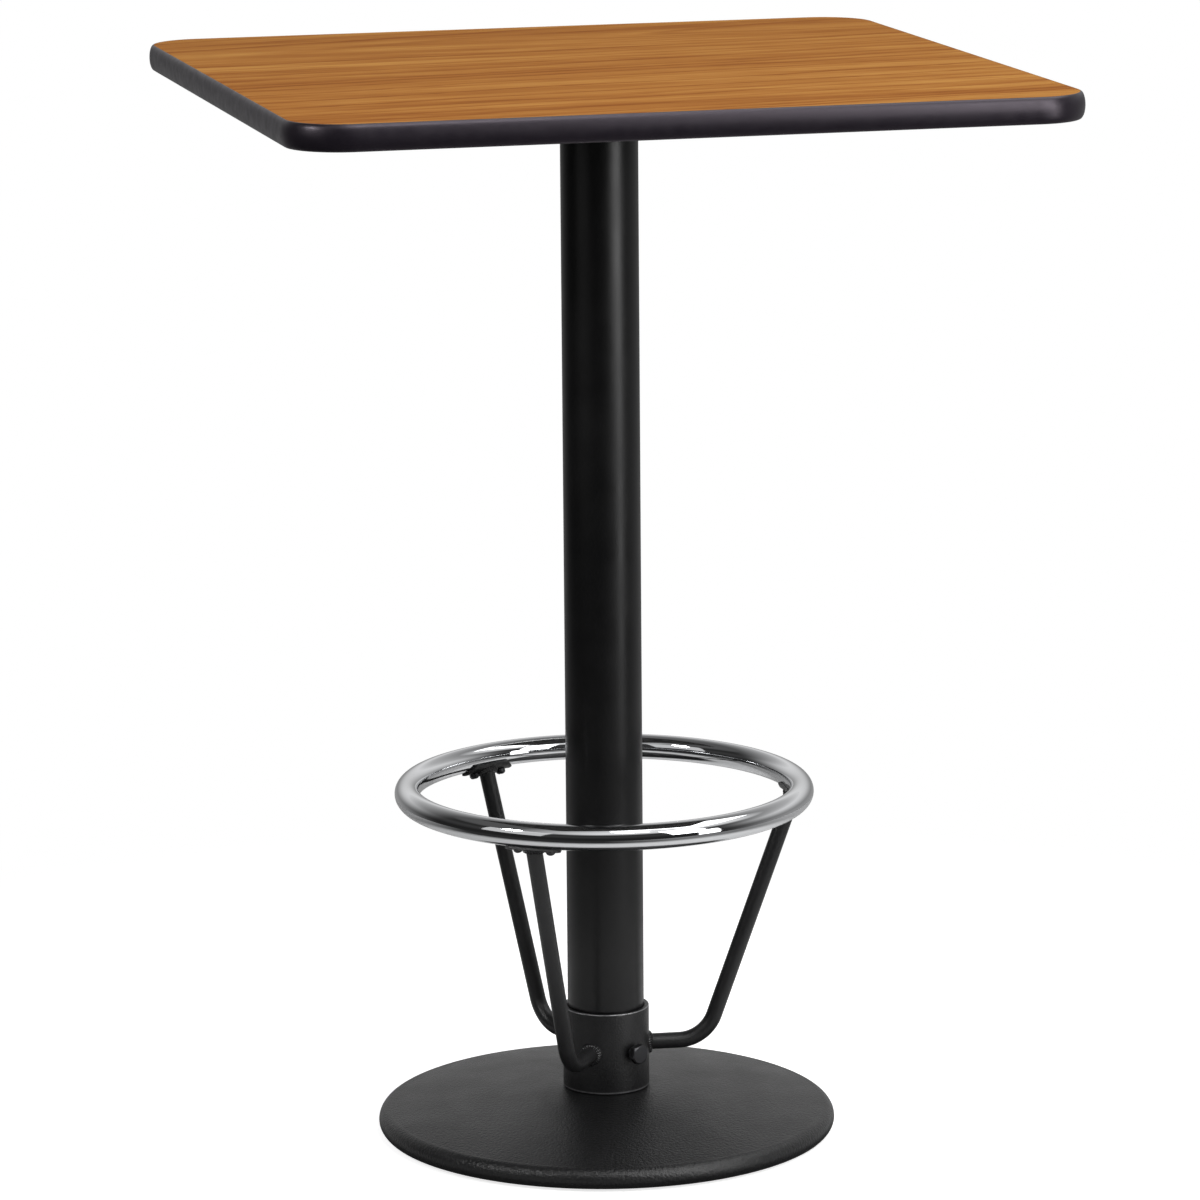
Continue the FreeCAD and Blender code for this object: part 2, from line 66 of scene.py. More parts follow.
# Fits: the gap on one side between two pieces
SOCKET_FIT = 0.25 * MM
COLLAR_FIT = 0.5 * MM
SPIGOT_FIT = 0.4 * MM
WASHER_FIT = 0.5 * MM
TIE_ROD_FIT = 0.6 * MM
STUD_FIT = 0.1 * MM
SEAT_FIT = 0.05 * MM

# Pitches of the screw threads
WOOD_PITCH = 1.8 * MM
SADDLE_PITCH = 1.6 * MM
BOLT_PITCH = 1.75 * MM
GLIDE_PITCH = 1.5 * MM


def low(node):
    return np.array(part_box(node)[0])


def high(node):
    return np.array(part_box(node)[1])


def levels(node):
    """Heights of a node's foot and top."""
    return low(node)[2], high(node)[2]


COLUMN_R = high("column_tube")[0]


def linear(code):
    """An sRGB hex colour as linear light."""
    part = np.array([int(code[i:i + 2], 16) for i in (1, 3, 5)]) / 255
    light = np.where(part <= 0.04045, part / 12.92, ((part + 0.055) / 1.055) ** 2.4)
    return tuple(float(c) for c in light)


def grey(level):
    return (level, level, level)


def size(name, description, millimetres):
    return FloatProperty(name=name, description=description, default=millimetres * MM,
                         unit="LENGTH", precision=5)


def colour(name, description, code):
    return FloatVectorProperty(name=name, description=description, default=linear(code),
                               subtype="COLOR", min=0, max=1)


def turn(name, description, degrees):
    return FloatProperty(name=name, description=description, default=math.radians(degrees),
                         subtype="ANGLE")


class TopSettings(bpy.types.PropertyGroup):
    """The laminate panel and its edge moulding."""
    corner: size("Corner radius", "Round of the top's corners, measured on the moulding", 57)
    tongue_length: size("Tongue length", "Reach of the moulding's tongue into the saw slot", 10)
    tongue: size("Tongue thickness", "Thickness of the tongue between its barbs", 1.8)
    neck: size("Tongue neck", "Smooth stretch of tongue before the first barb", 2.5)
    barb: size("Barb height", "How far a barb stands off the tongue", 0.6)
    barbs: IntProperty(name="Barbs", description="Barbs on each side of the tongue", default=3,
                       subtype="UNSIGNED")
    seam: size("Butt seam", "Gap where the two ends of the moulding meet, at the back", 0.3)
    grain_pitch: size("Grain pitch", "Distance between growth rings in the printed grain", 28)
    grain_heart: size("Grain heart", "Line that the grain's arches are centred on, from the middle", 278)
    grain_depth: size("Grain depth", "How deep the log's heart lies under the middle of the top", 67.4)
    grain_taper: FloatProperty(name="Grain taper", description="Fall of the heart along the top",
                               default=0.069, subtype="FACTOR")
    grain_lean: FloatProperty(name="Grain lean", description="Drift of the heart across the top",
                              default=0.17, subtype="FACTOR")


class FrameSettings(bpy.types.PropertyGroup):
    """The spider, the column and the cast base."""
    hub_wall: size("Hub wall", "Wall of the spider's hub", 9)
    socket: size("Socket depth", "Length of column inside the spider", 17)
    web: size("Hub web", "Web between the socket and the nut pocket", 6)
    flange: size("Arm flange", "Thickness of the spider's arms", 6)
    arm_root: size("Arm root", "Width of an arm, carried on to the axis", 46)
    arm_tip: size("Arm tip", "Width of an arm at its round end", 34)
    arm_rib: size("Arm rib", "Width of the rib under an arm", 9)
    arm_spread: size("Arm spread", "Tip to tip of two opposite arms", 330)
    rib_run: size("Rib run-out", "Arm tip to where its rib has run out", 51.6)
    screw_inset: size("Screw inset", "Arm tip to its outer screw", 13)
    screw_pitch: size("Screw spacing", "Between the two screws of an arm", 24)
    screw_point: size("Screw point", "Plain end of a wood screw, past its thread", 1)
    screw: size("Wood screw", "Radius of the wood screws' thread", 2.4)
    screw_head: size("Wood screw head", "Radius of the wood screws' heads", 4.6)
    column_wall: size("Column wall", "Wall of the column tube", 2)
    spigot_wall: size("Spigot wall", "Wall of the base's spigot inside the column", 7)
    pad: size("Pad radius", "Flat pad of the base under the collar", 55.1)
    base_top: size("Base height", "Floor to the pad", 43.5)
    base_lip: size("Base lip", "Floor to the lower edge of the rim", 3)
    rim_top: size("Rim top", "Floor to the crease between dome and rim", 23)
    rim: size("Rim radius", "Round of the base's rim", 12)
    tuck: size("Rim tuck", "Rim's widest line to its lower edge, drawn in under it", 4)
    bulge: size("Dome bulge", "Rise of the dome over a straight cone", 3)
    base_wall: size("Base wall", "Wall of the casting", 7)
    hub_step: size("Base hub", "How far the hub under the base stands out past the column", 6)
    rib: size("Base rib", "Width of the ribs under the base", 8)
    rib_foot: size("Rib foot", "Floor to the lower edge of ribs and bosses", 9)
    rib_ease: size("Rib ease", "Round of a rib's lower edges", 2)
    boss_wall: size("Boss wall", "Wall of the glides' bosses", 9)
    boss_end: size("Boss end", "Room past the end of a glide's stud", 1)


class RingSettings(bpy.types.PropertyGroup):
    """The sliding collar, its bolts, the rods and the chrome ring."""
    rod: size("Rod radius", "Radius of the bent rods", 8)
    stub: size("Rod stub", "Collar to where a rod's two straight runs would meet", 58)
    bend: size("Bend radius", "Radius of a rod's bend on its centre line", 38)
    saddle: size("Saddle thickness", "Plate thickness of the saddles", 3)
    saddle_length: size("Saddle length", "Length of a saddle along the ring", 58)
    saddle_span: turn("Saddle span", "Part of the tube's round that a saddle hugs", 104)
    saddle_clip: size("Saddle corner", "Clipped corners of a saddle", 7)
    screw: size("Saddle screw", "Radius of the saddle screws' thread", 2.4)
    screw_head: size("Screw head", "Radius of the saddle screws' heads", 4.75)
    screw_rise: size("Screw head height", "Height of the saddle screws' heads", 5)
    screw_gap: size("Screw gap", "Toe of the weld to the edge of a screw's head", 1.2)
    screw_bite: size("Screw bite", "Length of screw past the saddle", 8)
    weld: size("Weld leg", "Leg of the weld beads", 3.5)
    ripple: size("Weld ripple", "Distance between the ripples of a bead", 2.4)
    bolt: size("Bolt diameter", "Set bolts in the collar", 12)
    bolt_flats: size("Bolt head", "Bolt head across its flats", 18)
    bolt_head: size("Bolt head height", "Height of the bolt head", 7.5)
    standoff: size("Bolt standoff", "Collar to the underside of the bolt head", 4.5)
    bolt_room: size("Bolt room", "Column to the end of a set bolt's shank", 0.1)


class FinishSettings(bpy.types.PropertyGroup):
    """Colours of the finishes."""
    wood_light: colour("Early wood", "Lightest colour of the printed grain", "#C08B46")
    wood_mid: colour("Wood", "Main colour of the printed grain", "#A66C2E")
    wood_dark: colour("Late wood", "Darkest streaks of the printed grain", "#894D17")
    board: colour("Board", "Wood chips in the board", "#BCA17B")
    backer: colour("Backer", "Balancing sheet under the board", "#3B3A39")
    vinyl: colour("Edge vinyl", "Extruded edge moulding", "#17131A")
    cast_black: colour("Castings", "Textured powder coat on base and spider", "#131314")
    satin_black: colour("Column", "Satin powder coat on the column", "#0B0B0C")
    rod_black: colour("Collar and rods", "Grained powder coat on collar, rods and saddles", "#1A1A1B")
    # Colour of the painted highlight lines on the collar's rims, standing in for light caught on their
    # eased edges.
    highlight_steel: colour("Rim highlight", "Steel where the coat is rubbed off the collar's edges", "#A8A8AA")
    oxide: colour("Bolts", "Black oxide on bolts and saddle screws", "#4A4A4C")
    zinc: colour("Zinc", "Bright zinc on the hidden hardware", "#C4C6C9")
    nylon: colour("Nylon", "Feet of the glides", "#2A2A2B")
    chrome: colour("Chrome", "Chrome plate on the ring", "#E3E4E6")


class StageSettings(bpy.types.PropertyGroup):
    """Camera, floor and lamps."""
    distance: size("Camera distance", "Camera to the column, along the floor", 5600)
    height: size("Camera height", "Camera above the floor", 1691.2)
    swing: turn("Camera swing", "Camera's heading, to the right of +Y", 14.656)
    pitch: turn("Camera pitch", "Camera's downward tilt", 11.625)
    roll: turn("Camera roll", "Camera's lean to one side", -0.458)
    slide: size("Camera slide", "Camera off the column's line, to the right", -2.6)
    lens: FloatProperty(name="Lens", description="Focal length on a 36 mm sensor", default=173.774,
                        unit="CAMERA")
    floor: size("Floor radius", "Radius of the floor disc", 1500)
    pool: size("Lit floor", "How far out the floor still shows in reflections", 550)
    shade: size("Base shade", "How far out the base dims the floor in reflections", 280)
    shade_edge: size("Shade edge", "Soft edge of the base's shade", 40)


def around(count):
    """Angles of a full turn in equal steps."""
    return np.arange(count) * TAU / count


def polar(r, t, z):
    """Points (r cos t, r sin t, z), spread to one shape."""
    return np.stack(np.broadcast_arrays(r * np.cos(t), r * np.sin(t), z), -1)


def eased(corners, reach, steps=4):
    """Closed outline with each corner c rounded from a to b by (1-t)^2 a + 2t(1-t) c + t^2 b,
    where a and b lie on its two sides, reach away from it."""
    c = np.asarray(corners, float)
    reach = np.broadcast_to(np.asarray(reach, float), len(c))[:, None]
    back, on = np.roll(c, 1, 0) - c, np.roll(c, -1, 0) - c
    a = c + back * reach / np.maximum(np.linalg.norm(back, axis=1, keepdims=True), 1e-9)
    b = c + on * reach / np.maximum(np.linalg.norm(on, axis=1, keepdims=True), 1e-9)
    t = np.linspace(0, 1, steps)[None, :, None]
    curve = (1 - t) ** 2 * a[:, None] + 2 * t * (1 - t) * c[:, None] + t ** 2 * b[:, None]
    return curve.reshape(-1, 2)


def lathe(outline, count=128):
    """Outline points (r, z) turned about the Z axis."""
    r, z = np.asarray(outline, float).T[..., None]
    return polar(r, around(count), z)


def placed(points, origin, along, side):
    """Points drawn about the Z axis, moved so that Z lies along one direction and X on a side."""
    z = np.asarray(along, float) / np.linalg.norm(along)
    x = np.asarray(side, float) - z * np.dot(side, z)
    x = x / np.linalg.norm(x)
    return np.asarray(origin) + points @ np.stack([x, np.cross(z, x), z])


def spun(points, angle):
    """Points turned about the column's axis."""
    c, s = math.cos(angle), math.sin(angle)
    return points @ np.array([[c, s, 0], [-s, c, 0], [0, 0, 1]])


def skin(points, looped=False):
    """Quads over a grid whose columns join up; its rows join up too, or each end gets a cap."""
    rows, cols = points.shape[:2]
    index = np.arange(rows * cols).reshape(rows, cols)
    near = index if looped else index[:-1]
    far = np.roll(index, -1, 0)[:len(near)]
    quads = np.stack([near, np.roll(near, -1, 1), np.roll(far, -1, 1), far], -1).reshape(-1, 4)
    ends = [] if looped else [index[0, ::-1], index[-1]]
    return points.reshape(-1, 3), quads, ends


def make_piece(name, skins, material, body, nodes, crisp=35, flow=None):
    """One object from closed skins: seams and poles merged, faces outward, and edges that turn
    by more than crisp degrees left sharp. flow is a pair of lengths kept at each point."""
    counts = np.cumsum([0] + [len(points) for points, quads, ends in skins])
    faces = []
    for first, (points, quads, ends) in zip(counts, skins):
        faces += (quads + first).tolist() + [(cap + first).tolist() for cap in ends]
    mesh = bpy.data.meshes.new(name)
    mesh.from_pydata(np.concatenate([points for points, quads, ends in skins]), [], faces)
    if flow is not None:
        layer = mesh.attributes.new("flow", "FLOAT_VECTOR", "POINT")
        layer.data.foreach_set("vector", np.ascontiguousarray(flow, np.float32).ravel())
    work = bmesh.new()
    work.from_mesh(mesh)
    bmesh.ops.remove_doubles(work, verts=work.verts, dist=2e-6)
    bmesh.ops.dissolve_degenerate(work, dist=1e-7, edges=work.edges)
    bmesh.ops.recalc_face_normals(work, faces=work.faces)
    work.to_mesh(mesh)
    work.free()
    mesh.polygons.foreach_set("use_smooth", np.ones(len(mesh.polygons), bool))
    mesh.set_sharp_from_angle(angle=math.radians(crisp))
    mesh.materials.append(material)
    piece = bpy.data.objects.new(name, mesh)
    bpy.context.scene.collection.objects.link(piece)
    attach(piece, body)
    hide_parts(*nodes)
    return piece


def ease_edges(piece, width, degrees=40):
    """Small round edges on a piece that is built sharp."""
    bevel = piece.modifiers.new("eased_edges", "BEVEL")
    bevel.width = width
    bevel.segments = 2
    bevel.limit_method = "ANGLE"
    bevel.angle_limit = math.radians(degrees)
    bevel.harden_normals = True


def dress(material, *names):
    """CAD nodes that keep their shape get the finished material."""
    for name in names:
        mesh = frame["nodes"][name].data
        mesh.materials.clear()
        mesh.materials.append(material)


def add(tree, kind, inputs=(), stops=(), **settings):
    """One shader node: its settings, its inputs and a ramp's colour stops. An input is a constant,
    a socket, or a node that stands for its first output."""
    node = tree.nodes.new("ShaderNode" + kind)
    for key, value in settings.items():
        setattr(node, key, value)
    for key, value in dict(inputs).items():
        if isinstance(value, bpy.types.Node):
            value = value.outputs[0]
        if isinstance(value, bpy.types.NodeSocket):
            tree.links.new(value, node.inputs[key])
        else:
            node.inputs[key].default_value = value
    for i, (place, tone) in enumerate(stops):
        ramp = node.color_ramp.elements
        stop = ramp[i] if i < 2 else ramp.new(place)
        stop.position = place
        stop.color = (*tone, 1)
    return node


def start(name):
    """A new material, emptied, with what adds a node to it and the piece's own coordinates."""
    made = bpy.data.materials.new(name)
    made.use_nodes = True
    made.node_tree.nodes.clear()
    node = partial(add, made.node_tree)
    return made, node, node("TexCoord").outputs["Object"]


def end(node, inputs):
    """Closes a material with its surface shader and output."""
    node("OutputMaterial", {"Surface": node("BsdfPrincipled", inputs)})


def cells(along, across):
    """Scale of a pattern whose features have these sizes, in millimetres."""
    return (1 / (along * MM), 1 / (across * MM), 1)


def wood_laminate(top, tones):
    """High-pressure laminate: a print of flat-sawn wood under a fine matt melamine face. The eye
    gets growth rings that run along the top and close into long pointed arches toward the back,
    some strong and some faint, with bands of tone, fine streaks and pores among them. A point is
    ((y - heart - lean x)^2 + (depth - taper x)^2)^0.5 from the log's heart, with y bent and frayed
    by noise, and that over the pitch, unevenly spread, counts the rings."""
    made, node, place = start("wood_grain_laminate")
    along, across = node("SeparateXYZ", {"Vector": place}).outputs[:2]
    bend, fray, streak, band, pore = [
        node("TexNoise", {"Vector": node("Mapping", {"Vector": place, "Scale": cells(*sizes)}),
                          "Scale": 1, "Detail": detail, "Roughness": rough})
        for sizes, detail, rough in (((417, 111), 3, 0.5), ((71.4, 3.85), 3, 0.5),
                                     ((111, 8.33), 4, 0.65), ((1111, 58.8), 1, 0.5),
                                     ((33.3, 1.11), 2, 0.5))]
    off = node("Math", {0: across, 1: top.grain_heart}, operation="SUBTRACT")
    for pattern, share in ((bend, 45 * MM), (fray, 9 * MM), (along, -top.grain_lean)):
        off = node("Math", {0: pattern, 1: share, 2: off}, operation="MULTIPLY_ADD")
    deep = node("Math", {0: along, 1: -top.grain_taper, 2: top.grain_depth},
                operation="MULTIPLY_ADD")
    heart = node("CombineXYZ", {"X": off, "Y": deep})
    far = node("VectorMath", {0: heart}, operation="LENGTH").outputs["Value"]
    count = node("Math", {0: far, 1: 1 / top.grain_pitch}, operation="MULTIPLY")
    growth = node("TexNoise", {"W": count, "Scale": 0.6, "Detail": 1}, noise_dimensions="1D")
    count = node("Math", {0: growth, 1: 1.6, 2: count}, operation="MULTIPLY_ADD")
    year = node("Math", {0: count}, operation="FRACT")
    ring = node("ValToRGB", {"Fac": year},
                stops=[(0, grey(0.6)), (1, grey(0.6)), (0.07, grey(0.1)), (0.5, grey(0.2)),
                       (0.78, grey(0.6)), (0.92, grey(1))])
    season = node("TexNoise", {"W": count, "Scale": 0.9, "Detail": 1}, noise_dimensions="1D")
    weight = node("MapRange", {"Value": season, "From Min": 0.3, "From Max": 0.7,
                               "To Min": -0.13, "To Max": -0.38})
    tone = -0.033
    for pattern, share in ((band, 0.6), (streak, 0.6), (ring, weight)):
        tone = node("Math", {0: pattern, 1: share, 2: tone}, operation="MULTIPLY_ADD")
    printed = node("ValToRGB", {"Fac": tone},
                   stops=[(0.24, tones.wood_dark), (0.76, tones.wood_light), (0.5, tones.wood_mid)])
    dark = node("MapRange", {"Value": pore, "From Min": 0.28, "From Max": 0.42, "To Min": 0.84})
    hue = node("HueSaturation", {"Value": dark, "Color": printed})
    bump = node("Bump", {"Height": pore, "Strength": 0.3, "Distance": 0.04 * MM})
    end(node, {"Base Color": hue, "Roughness": 0.62, "IOR": 1.5, "Specular IOR Level": 0.03,
               "Normal": bump})
    return made


def edge_vinyl(tone):
    """Flexible vinyl, extruded: a deep grey-black with a low sheen and faint lines drawn along
    its length by the die."""
    made, node, place = start("extruded_edge_vinyl")
    flow = node("Attribute", attribute_name="flow").outputs["Vector"]
    drawn = node("Mapping", {"Vector": flow, "Scale": cells(167, 0.625)})
    lines = node("TexNoise", {"Vector": drawn, "Scale": 1, "Detail": 2})
    grain = node("TexNoise", {"Vector": place, "Scale": 1 / (1.11 * MM), "Detail": 2})
    height = node("Math", {0: lines, 1: 0.5, 2: grain}, operation="MULTIPLY_ADD")
    bump = node("Bump", {"Height": height, "Strength": 0.2, "Distance": 0.05 * MM})
    cloud = node("TexNoise", {"Vector": place, "Scale": 1 / (9 * MM), "Detail": 4})
    gloss = node("MapRange", {"Value": cloud, "To Min": 0.26, "To Max": 0.46})
    end(node, {"Base Color": (*tone, 1), "Roughness": gloss, "IOR": 1.53,
               "Specular Tint": (1, 0.88, 1, 1), "Normal": bump})
    return made


def powder_coat(name, tone, grit, depth, rough):
    """Black polyester powder, sprayed dry and baked: it flows into a fine orange peel whose
    bumps, grit apart, break up every highlight. Grit is drawn about twice life size to show."""
    made, node, place = start(name)
    peel = node("TexNoise", {"Vector": place, "Scale": 1 / grit, "Detail": 3, "Roughness": 0.6})
    cloud = node("TexNoise", {"Vector": place, "Scale": 1 / (45 * MM), "Detail": 3})
    shade = node("MapRange", {"Value": cloud, "To Min": 0.85, "To Max": 1.15})
    hue = node("HueSaturation", {"Value": shade, "Color": (*tone, 1)})
    gloss = node("MapRange", {"Value": cloud, "To Min": rough - 0.1, "To Max": rough + 0.1})
    bump = node("Bump", {"Height": peel, "Strength": 0.5, "Distance": depth})
    end(node, {"Base Color": hue, "Roughness": gloss, "IOR": 1.5, "Normal": bump})
    return made


def paint_rim_highlights(made, rims, highlight_steel):
    """Thin broken lines of painted highlight along a piece's edges. The coat is mixed toward a light
    steel colour and made metallic there, standing in for light caught on the eased rims. rims are
    circles round the column's axis, given as radius, height and how strong the painted highlight is."""
    tree = made.node_tree
    node = partial(add, tree)
    shader = next(found for found in tree.nodes if found.type == "BSDF_PRINCIPLED")
    place = node("TexCoord").outputs["Object"]
    x, y, z = node("SeparateXYZ", {"Vector": place}).outputs
    level = node("CombineXYZ", {"X": x, "Y": y})
    out = node("VectorMath", {0: level}, operation="LENGTH").outputs["Value"]
    spot = node("CombineXYZ", {"X": out, "Y": z})
    # Noise that breaks the painted highlight lines into pieces.
    chips = node("TexNoise", {"Vector": place, "Scale": 1 / (7 * MM), "Detail": 4})
    highlight_breaks = node("MapRange", {"Value": chips, "From Min": 0.3, "From Max": 0.6, "To Min": 0.35})
    near = 0.0
    for radius, height, highlight_share in rims:
        far = node("VectorMath", {0: spot, 1: (radius, height, 0)}, operation="DISTANCE")
        close = node("MapRange", {"Value": far.outputs["Value"], "From Min": 0.5 * MM,
                                  "From Max": 1.1 * MM, "To Min": highlight_share, "To Max": 0})
        near = node("Math", {0: close, 1: near}, operation="ADD")
    share = node("Math", {0: near, 1: highlight_breaks}, operation="MULTIPLY").outputs[0]
    coat = shader.inputs["Base Color"].links[0].from_socket
    hue = node("Mix", {0: share, 6: coat, 7: (*highlight_steel, 1)}, data_type="RGBA")
    tree.links.new(hue.outputs[2], shader.inputs["Base Color"])
    tree.links.new(share, shader.inputs["Metallic"])
    return made


def metal(name, tone, rough, blur):
    """Bare or plated steel: a bright mirror in chrome, a milky patchy one in zinc, a dull dark one
    in black oxide, each with the faint cloud that polishing or the bath leaves."""
    made, node, place = start(name)
    cloud = node("TexNoise", {"Vector": place, "Scale": 1 / (14 * MM), "Detail": 4})
    gloss = node("MapRange", {"Value": cloud, "To Min": rough, "To Max": rough + blur})
    ripple = node("TexNoise", {"Vector": place, "Scale": 1 / (30 * MM), "Detail": 1})
    bump = node("Bump", {"Height": ripple, "Strength": 0.3, "Distance": 0.03 * MM})
    end(node, {"Base Color": (*tone, 1), "Metallic": 1, "Roughness": gloss, "Normal": bump})
    return made


def moulded_nylon(tone):
    """Injection-moulded nylon: a soft waxy sheen with a fine spark-eroded grain."""
    made, node, place = start("moulded_nylon")
    grain = node("TexNoise", {"Vector": place, "Scale": 1 / (0.8 * MM), "Detail": 2})
    bump = node("Bump", {"Height": grain, "Strength": 0.3, "Distance": 0.05 * MM})
    end(node, {"Base Color": (*tone, 1), "Roughness": 0.5, "IOR": 1.53, "Normal": bump})
    return made


def chip_board(tone):
    """Particle board: pressed chips a few millimetres long, each with its own tan."""
    made, node, place = start("particle_board")
    chips = node("TexVoronoi", {"Vector": place, "Scale": 1 / (3 * MM)}).outputs["Color"]
    shade = node("MapRange", {"Value": chips, "To Min": 0.7, "To Max": 1.2})
    hue = node("HueSaturation", {"Value": shade, "Color": (*tone, 1)})
    end(node, {"Base Color": hue, "Roughness": 0.85})
    return made


def backer_sheet(tone):
    """Phenolic balancing sheet: black paper in resin, matt, with faint sanding lines."""
    made, node, place = start("phenolic_backer")
    drawn = node("Mapping", {"Vector": place, "Scale": cells(125, 2)})
    lines = node("TexNoise", {"Vector": drawn, "Scale": 1, "Detail": 3})
    shade = node("MapRange", {"Value": lines, "To Min": 0.85, "To Max": 1.12})
    hue = node("HueSaturation", {"Value": shade, "Color": (*tone, 1)})
    end(node, {"Base Color": hue, "Roughness": 0.7})
    return made


def finish(context, name):
    """One of the finishes that several pieces share, made when it is first asked for."""
    tones = context.scene.pub_table_finish
    makers = {"textured_powder_coat": (powder_coat, tones.cast_black, 2.8 * MM, 1.8 * MM, 0.34),
              "satin_powder_coat": (powder_coat, tones.satin_black, 1.1 * MM, 0.05 * MM, 0.36),
              "grained_powder_coat": (powder_coat, tones.rod_black, 1.8 * MM, 0.8 * MM, 0.36),
              # The collar's own copy of the grained coat, which carries the painted rim highlights.
              "collar_powder_coat": (powder_coat, tones.rod_black, 1.8 * MM, 0.8 * MM, 0.36),
              "painted_weld": (powder_coat, tones.rod_black, 2.2 * MM, 0.12 * MM, 0.14),
              "black_oxide_steel": (metal, tones.oxide, 0.34, 0.14),
              "zinc_plate": (metal, tones.zinc, 0.3, 0.2),
              "chrome_plate": (metal, tones.chrome, 0.03, 0.03)}
    if name not in bpy.data.materials:
        maker, *values = makers[name]
        maker(name, *values)
    return bpy.data.materials[name]


def thread(radius, pitch, length, count):
    """Screw thread along Z from 0: r = radius - 0.6 pitch |2 frac(z/pitch - t/tau) - 1|, faded
    out at both ends."""
    rows = max(4, int(round(8 * length / pitch)))
    z = np.linspace(0, length, rows + 1)[:, None]
    t = around(count)
    groove = 0.6 * pitch * np.abs(2 * np.mod(z / pitch - t / TAU, 1) - 1)
    fade = np.clip(np.minimum(z, length - z) / (0.5 * pitch), 0, 1)
    return polar(radius - groove * fade - 0.3 * pitch * (1 - fade), t, z)


def hex_head(flats, height):
    """Hexagon head along Z from 0: r = flats/2 / cos(u) with u the angle from the middle of a
    flat, cut by a 30 degree cone at the top, where it ends in a shallow dome."""
    t = around(96)
    r = flats / 2 / np.cos(np.mod(t, TAU / 6) - TAU / 12)
    face = 0.93 * flats / 2
    cut = height - np.maximum(r - face, 0) * math.tan(math.radians(30))
    rows = [(0, 0), (0.9 * r, 0), (r, 0.15 * MM), (r, 0.5 * cut), (r, cut - 0.1 * MM), (r, cut),
            (face, height), (0.97 * face, height + 0.12 * MM), (0.6 * face, height + 0.16 * MM),
            (0, height + 0.2 * MM)]
    return np.stack([polar(side, t, level) for side, level in rows])


def pan_head(radius, height):
    """Pan head along Z from 0 with a cross recess: z = height (1 - 0.45 (r/R)^4), sunk inside
    the cross where the nearer of |x| and |y| is less than 0.16 R."""
    t = around(96)
    r = radius * np.concatenate([np.linspace(0, 0.62, 14), np.linspace(0.66, 1, 9)])[:, None]
    nearer = np.minimum(np.abs(r * np.cos(t)), np.abs(r * np.sin(t)))
    wall = np.clip((0.16 * radius - nearer) / (0.06 * radius), 0, 1)
    reach = np.clip((0.58 * radius - r) / (0.08 * radius), 0, 1)
    sunk = 0.5 * height * wall * reach * (1 - 0.5 * r / radius)
    dome = polar(r, t, height * (1 - 0.45 * (r / radius) ** 4) - sunk)
    return np.concatenate([[polar(0, t, 0), polar(radius, t, 0)], dome[::-1]])


def moulding_path(width, depth, corner, seam, steps=14):
    """Stations round a rectangle with round corners, from the seam at the middle of the back and
    round by the left: points c + corner (cos a, sin a) on four quarter turns, with two more just
    inside each straight run so that the runs stay flat."""
    cx, cy = width / 2 - corner, depth / 2 - corner
    centre = np.array([(-cx, cy), (-cx, -cy), (cx, -cy), (cx, cy)])
    a = math.pi / 2 * (1 + np.arange(4)[:, None] + np.linspace(0, 1, steps)[None])
    out = np.stack([np.cos(a), np.sin(a)], -1)
    arcs = centre[:, None] + corner * out
    hold = 3 * MM * np.stack([-np.sin(a), np.cos(a)], -1)
    points = np.concatenate([arcs[:, :1] - hold[:, :1], arcs, arcs[:, -1:] + hold[:, -1:]], 1)
    outs = np.concatenate([out[:, :1], out, out[:, -1:]], 1)
    first = np.array([[-seam / 2, depth / 2]])
    return (np.concatenate([first, points.reshape(-1, 2), first * (-1, 1)]),
            np.concatenate([[[0, 1]], outs.reshape(-1, 2), [[0, 1]]]))


def bead(ring, origin, axis, bow, round_r):
    """Weld bead round a rod that leaves a round surface. At q from the rod's axis the surface
    stands round_r (1 - (q cos t / round_r)^2)^0.5 off the origin, and the face runs from q = rod
    + leg down on the surface to leg up the rod, swelled by curved ripples."""
    rod, leg = ring.rod, ring.weld
    t = around(168)[None]
    u = np.linspace(0, 1, 9)[:, None]
    waves = round(TAU * (rod + leg / 2) / ring.ripple)
    swell = leg * np.sin(math.pi * u) * (0.2 + 0.15 * np.sin(waves * t + 2.5 * np.sin(math.pi * u)))
    wander = 1 + 0.10 * np.sin(3 * t + 0.7) + 0.05 * np.sin(7 * t)
    q = np.concatenate([rod + leg * wander * (1 - u) + swell * 0.7, np.full_like(t, rod)])
    h = np.sqrt(round_r ** 2 - (q * np.cos(t)) ** 2)
    h[:-1] += leg * wander * u + swell * 0.7
    x, y, z = polar(q, t, h).transpose(2, 0, 1)[..., None]
    return np.asarray(origin) + z * axis + x * bow + y * np.cross(axis, bow)


class PUBTABLE_OT_panel(bpy.types.Operator):
    """Dress the laminate, the board and the backer."""
    bl_idname = "pub_table.panel"
    bl_label = "Top panel"

    def execute(self, context):
        tones = context.scene.pub_table_finish
        dress(wood_laminate(context.scene.pub_table_top, tones), "top_laminate")
        dress(chip_board(tones.board), "top_core")
        dress(backer_sheet(tones.backer), "backer_sheet")
        return {"FINISHED"}


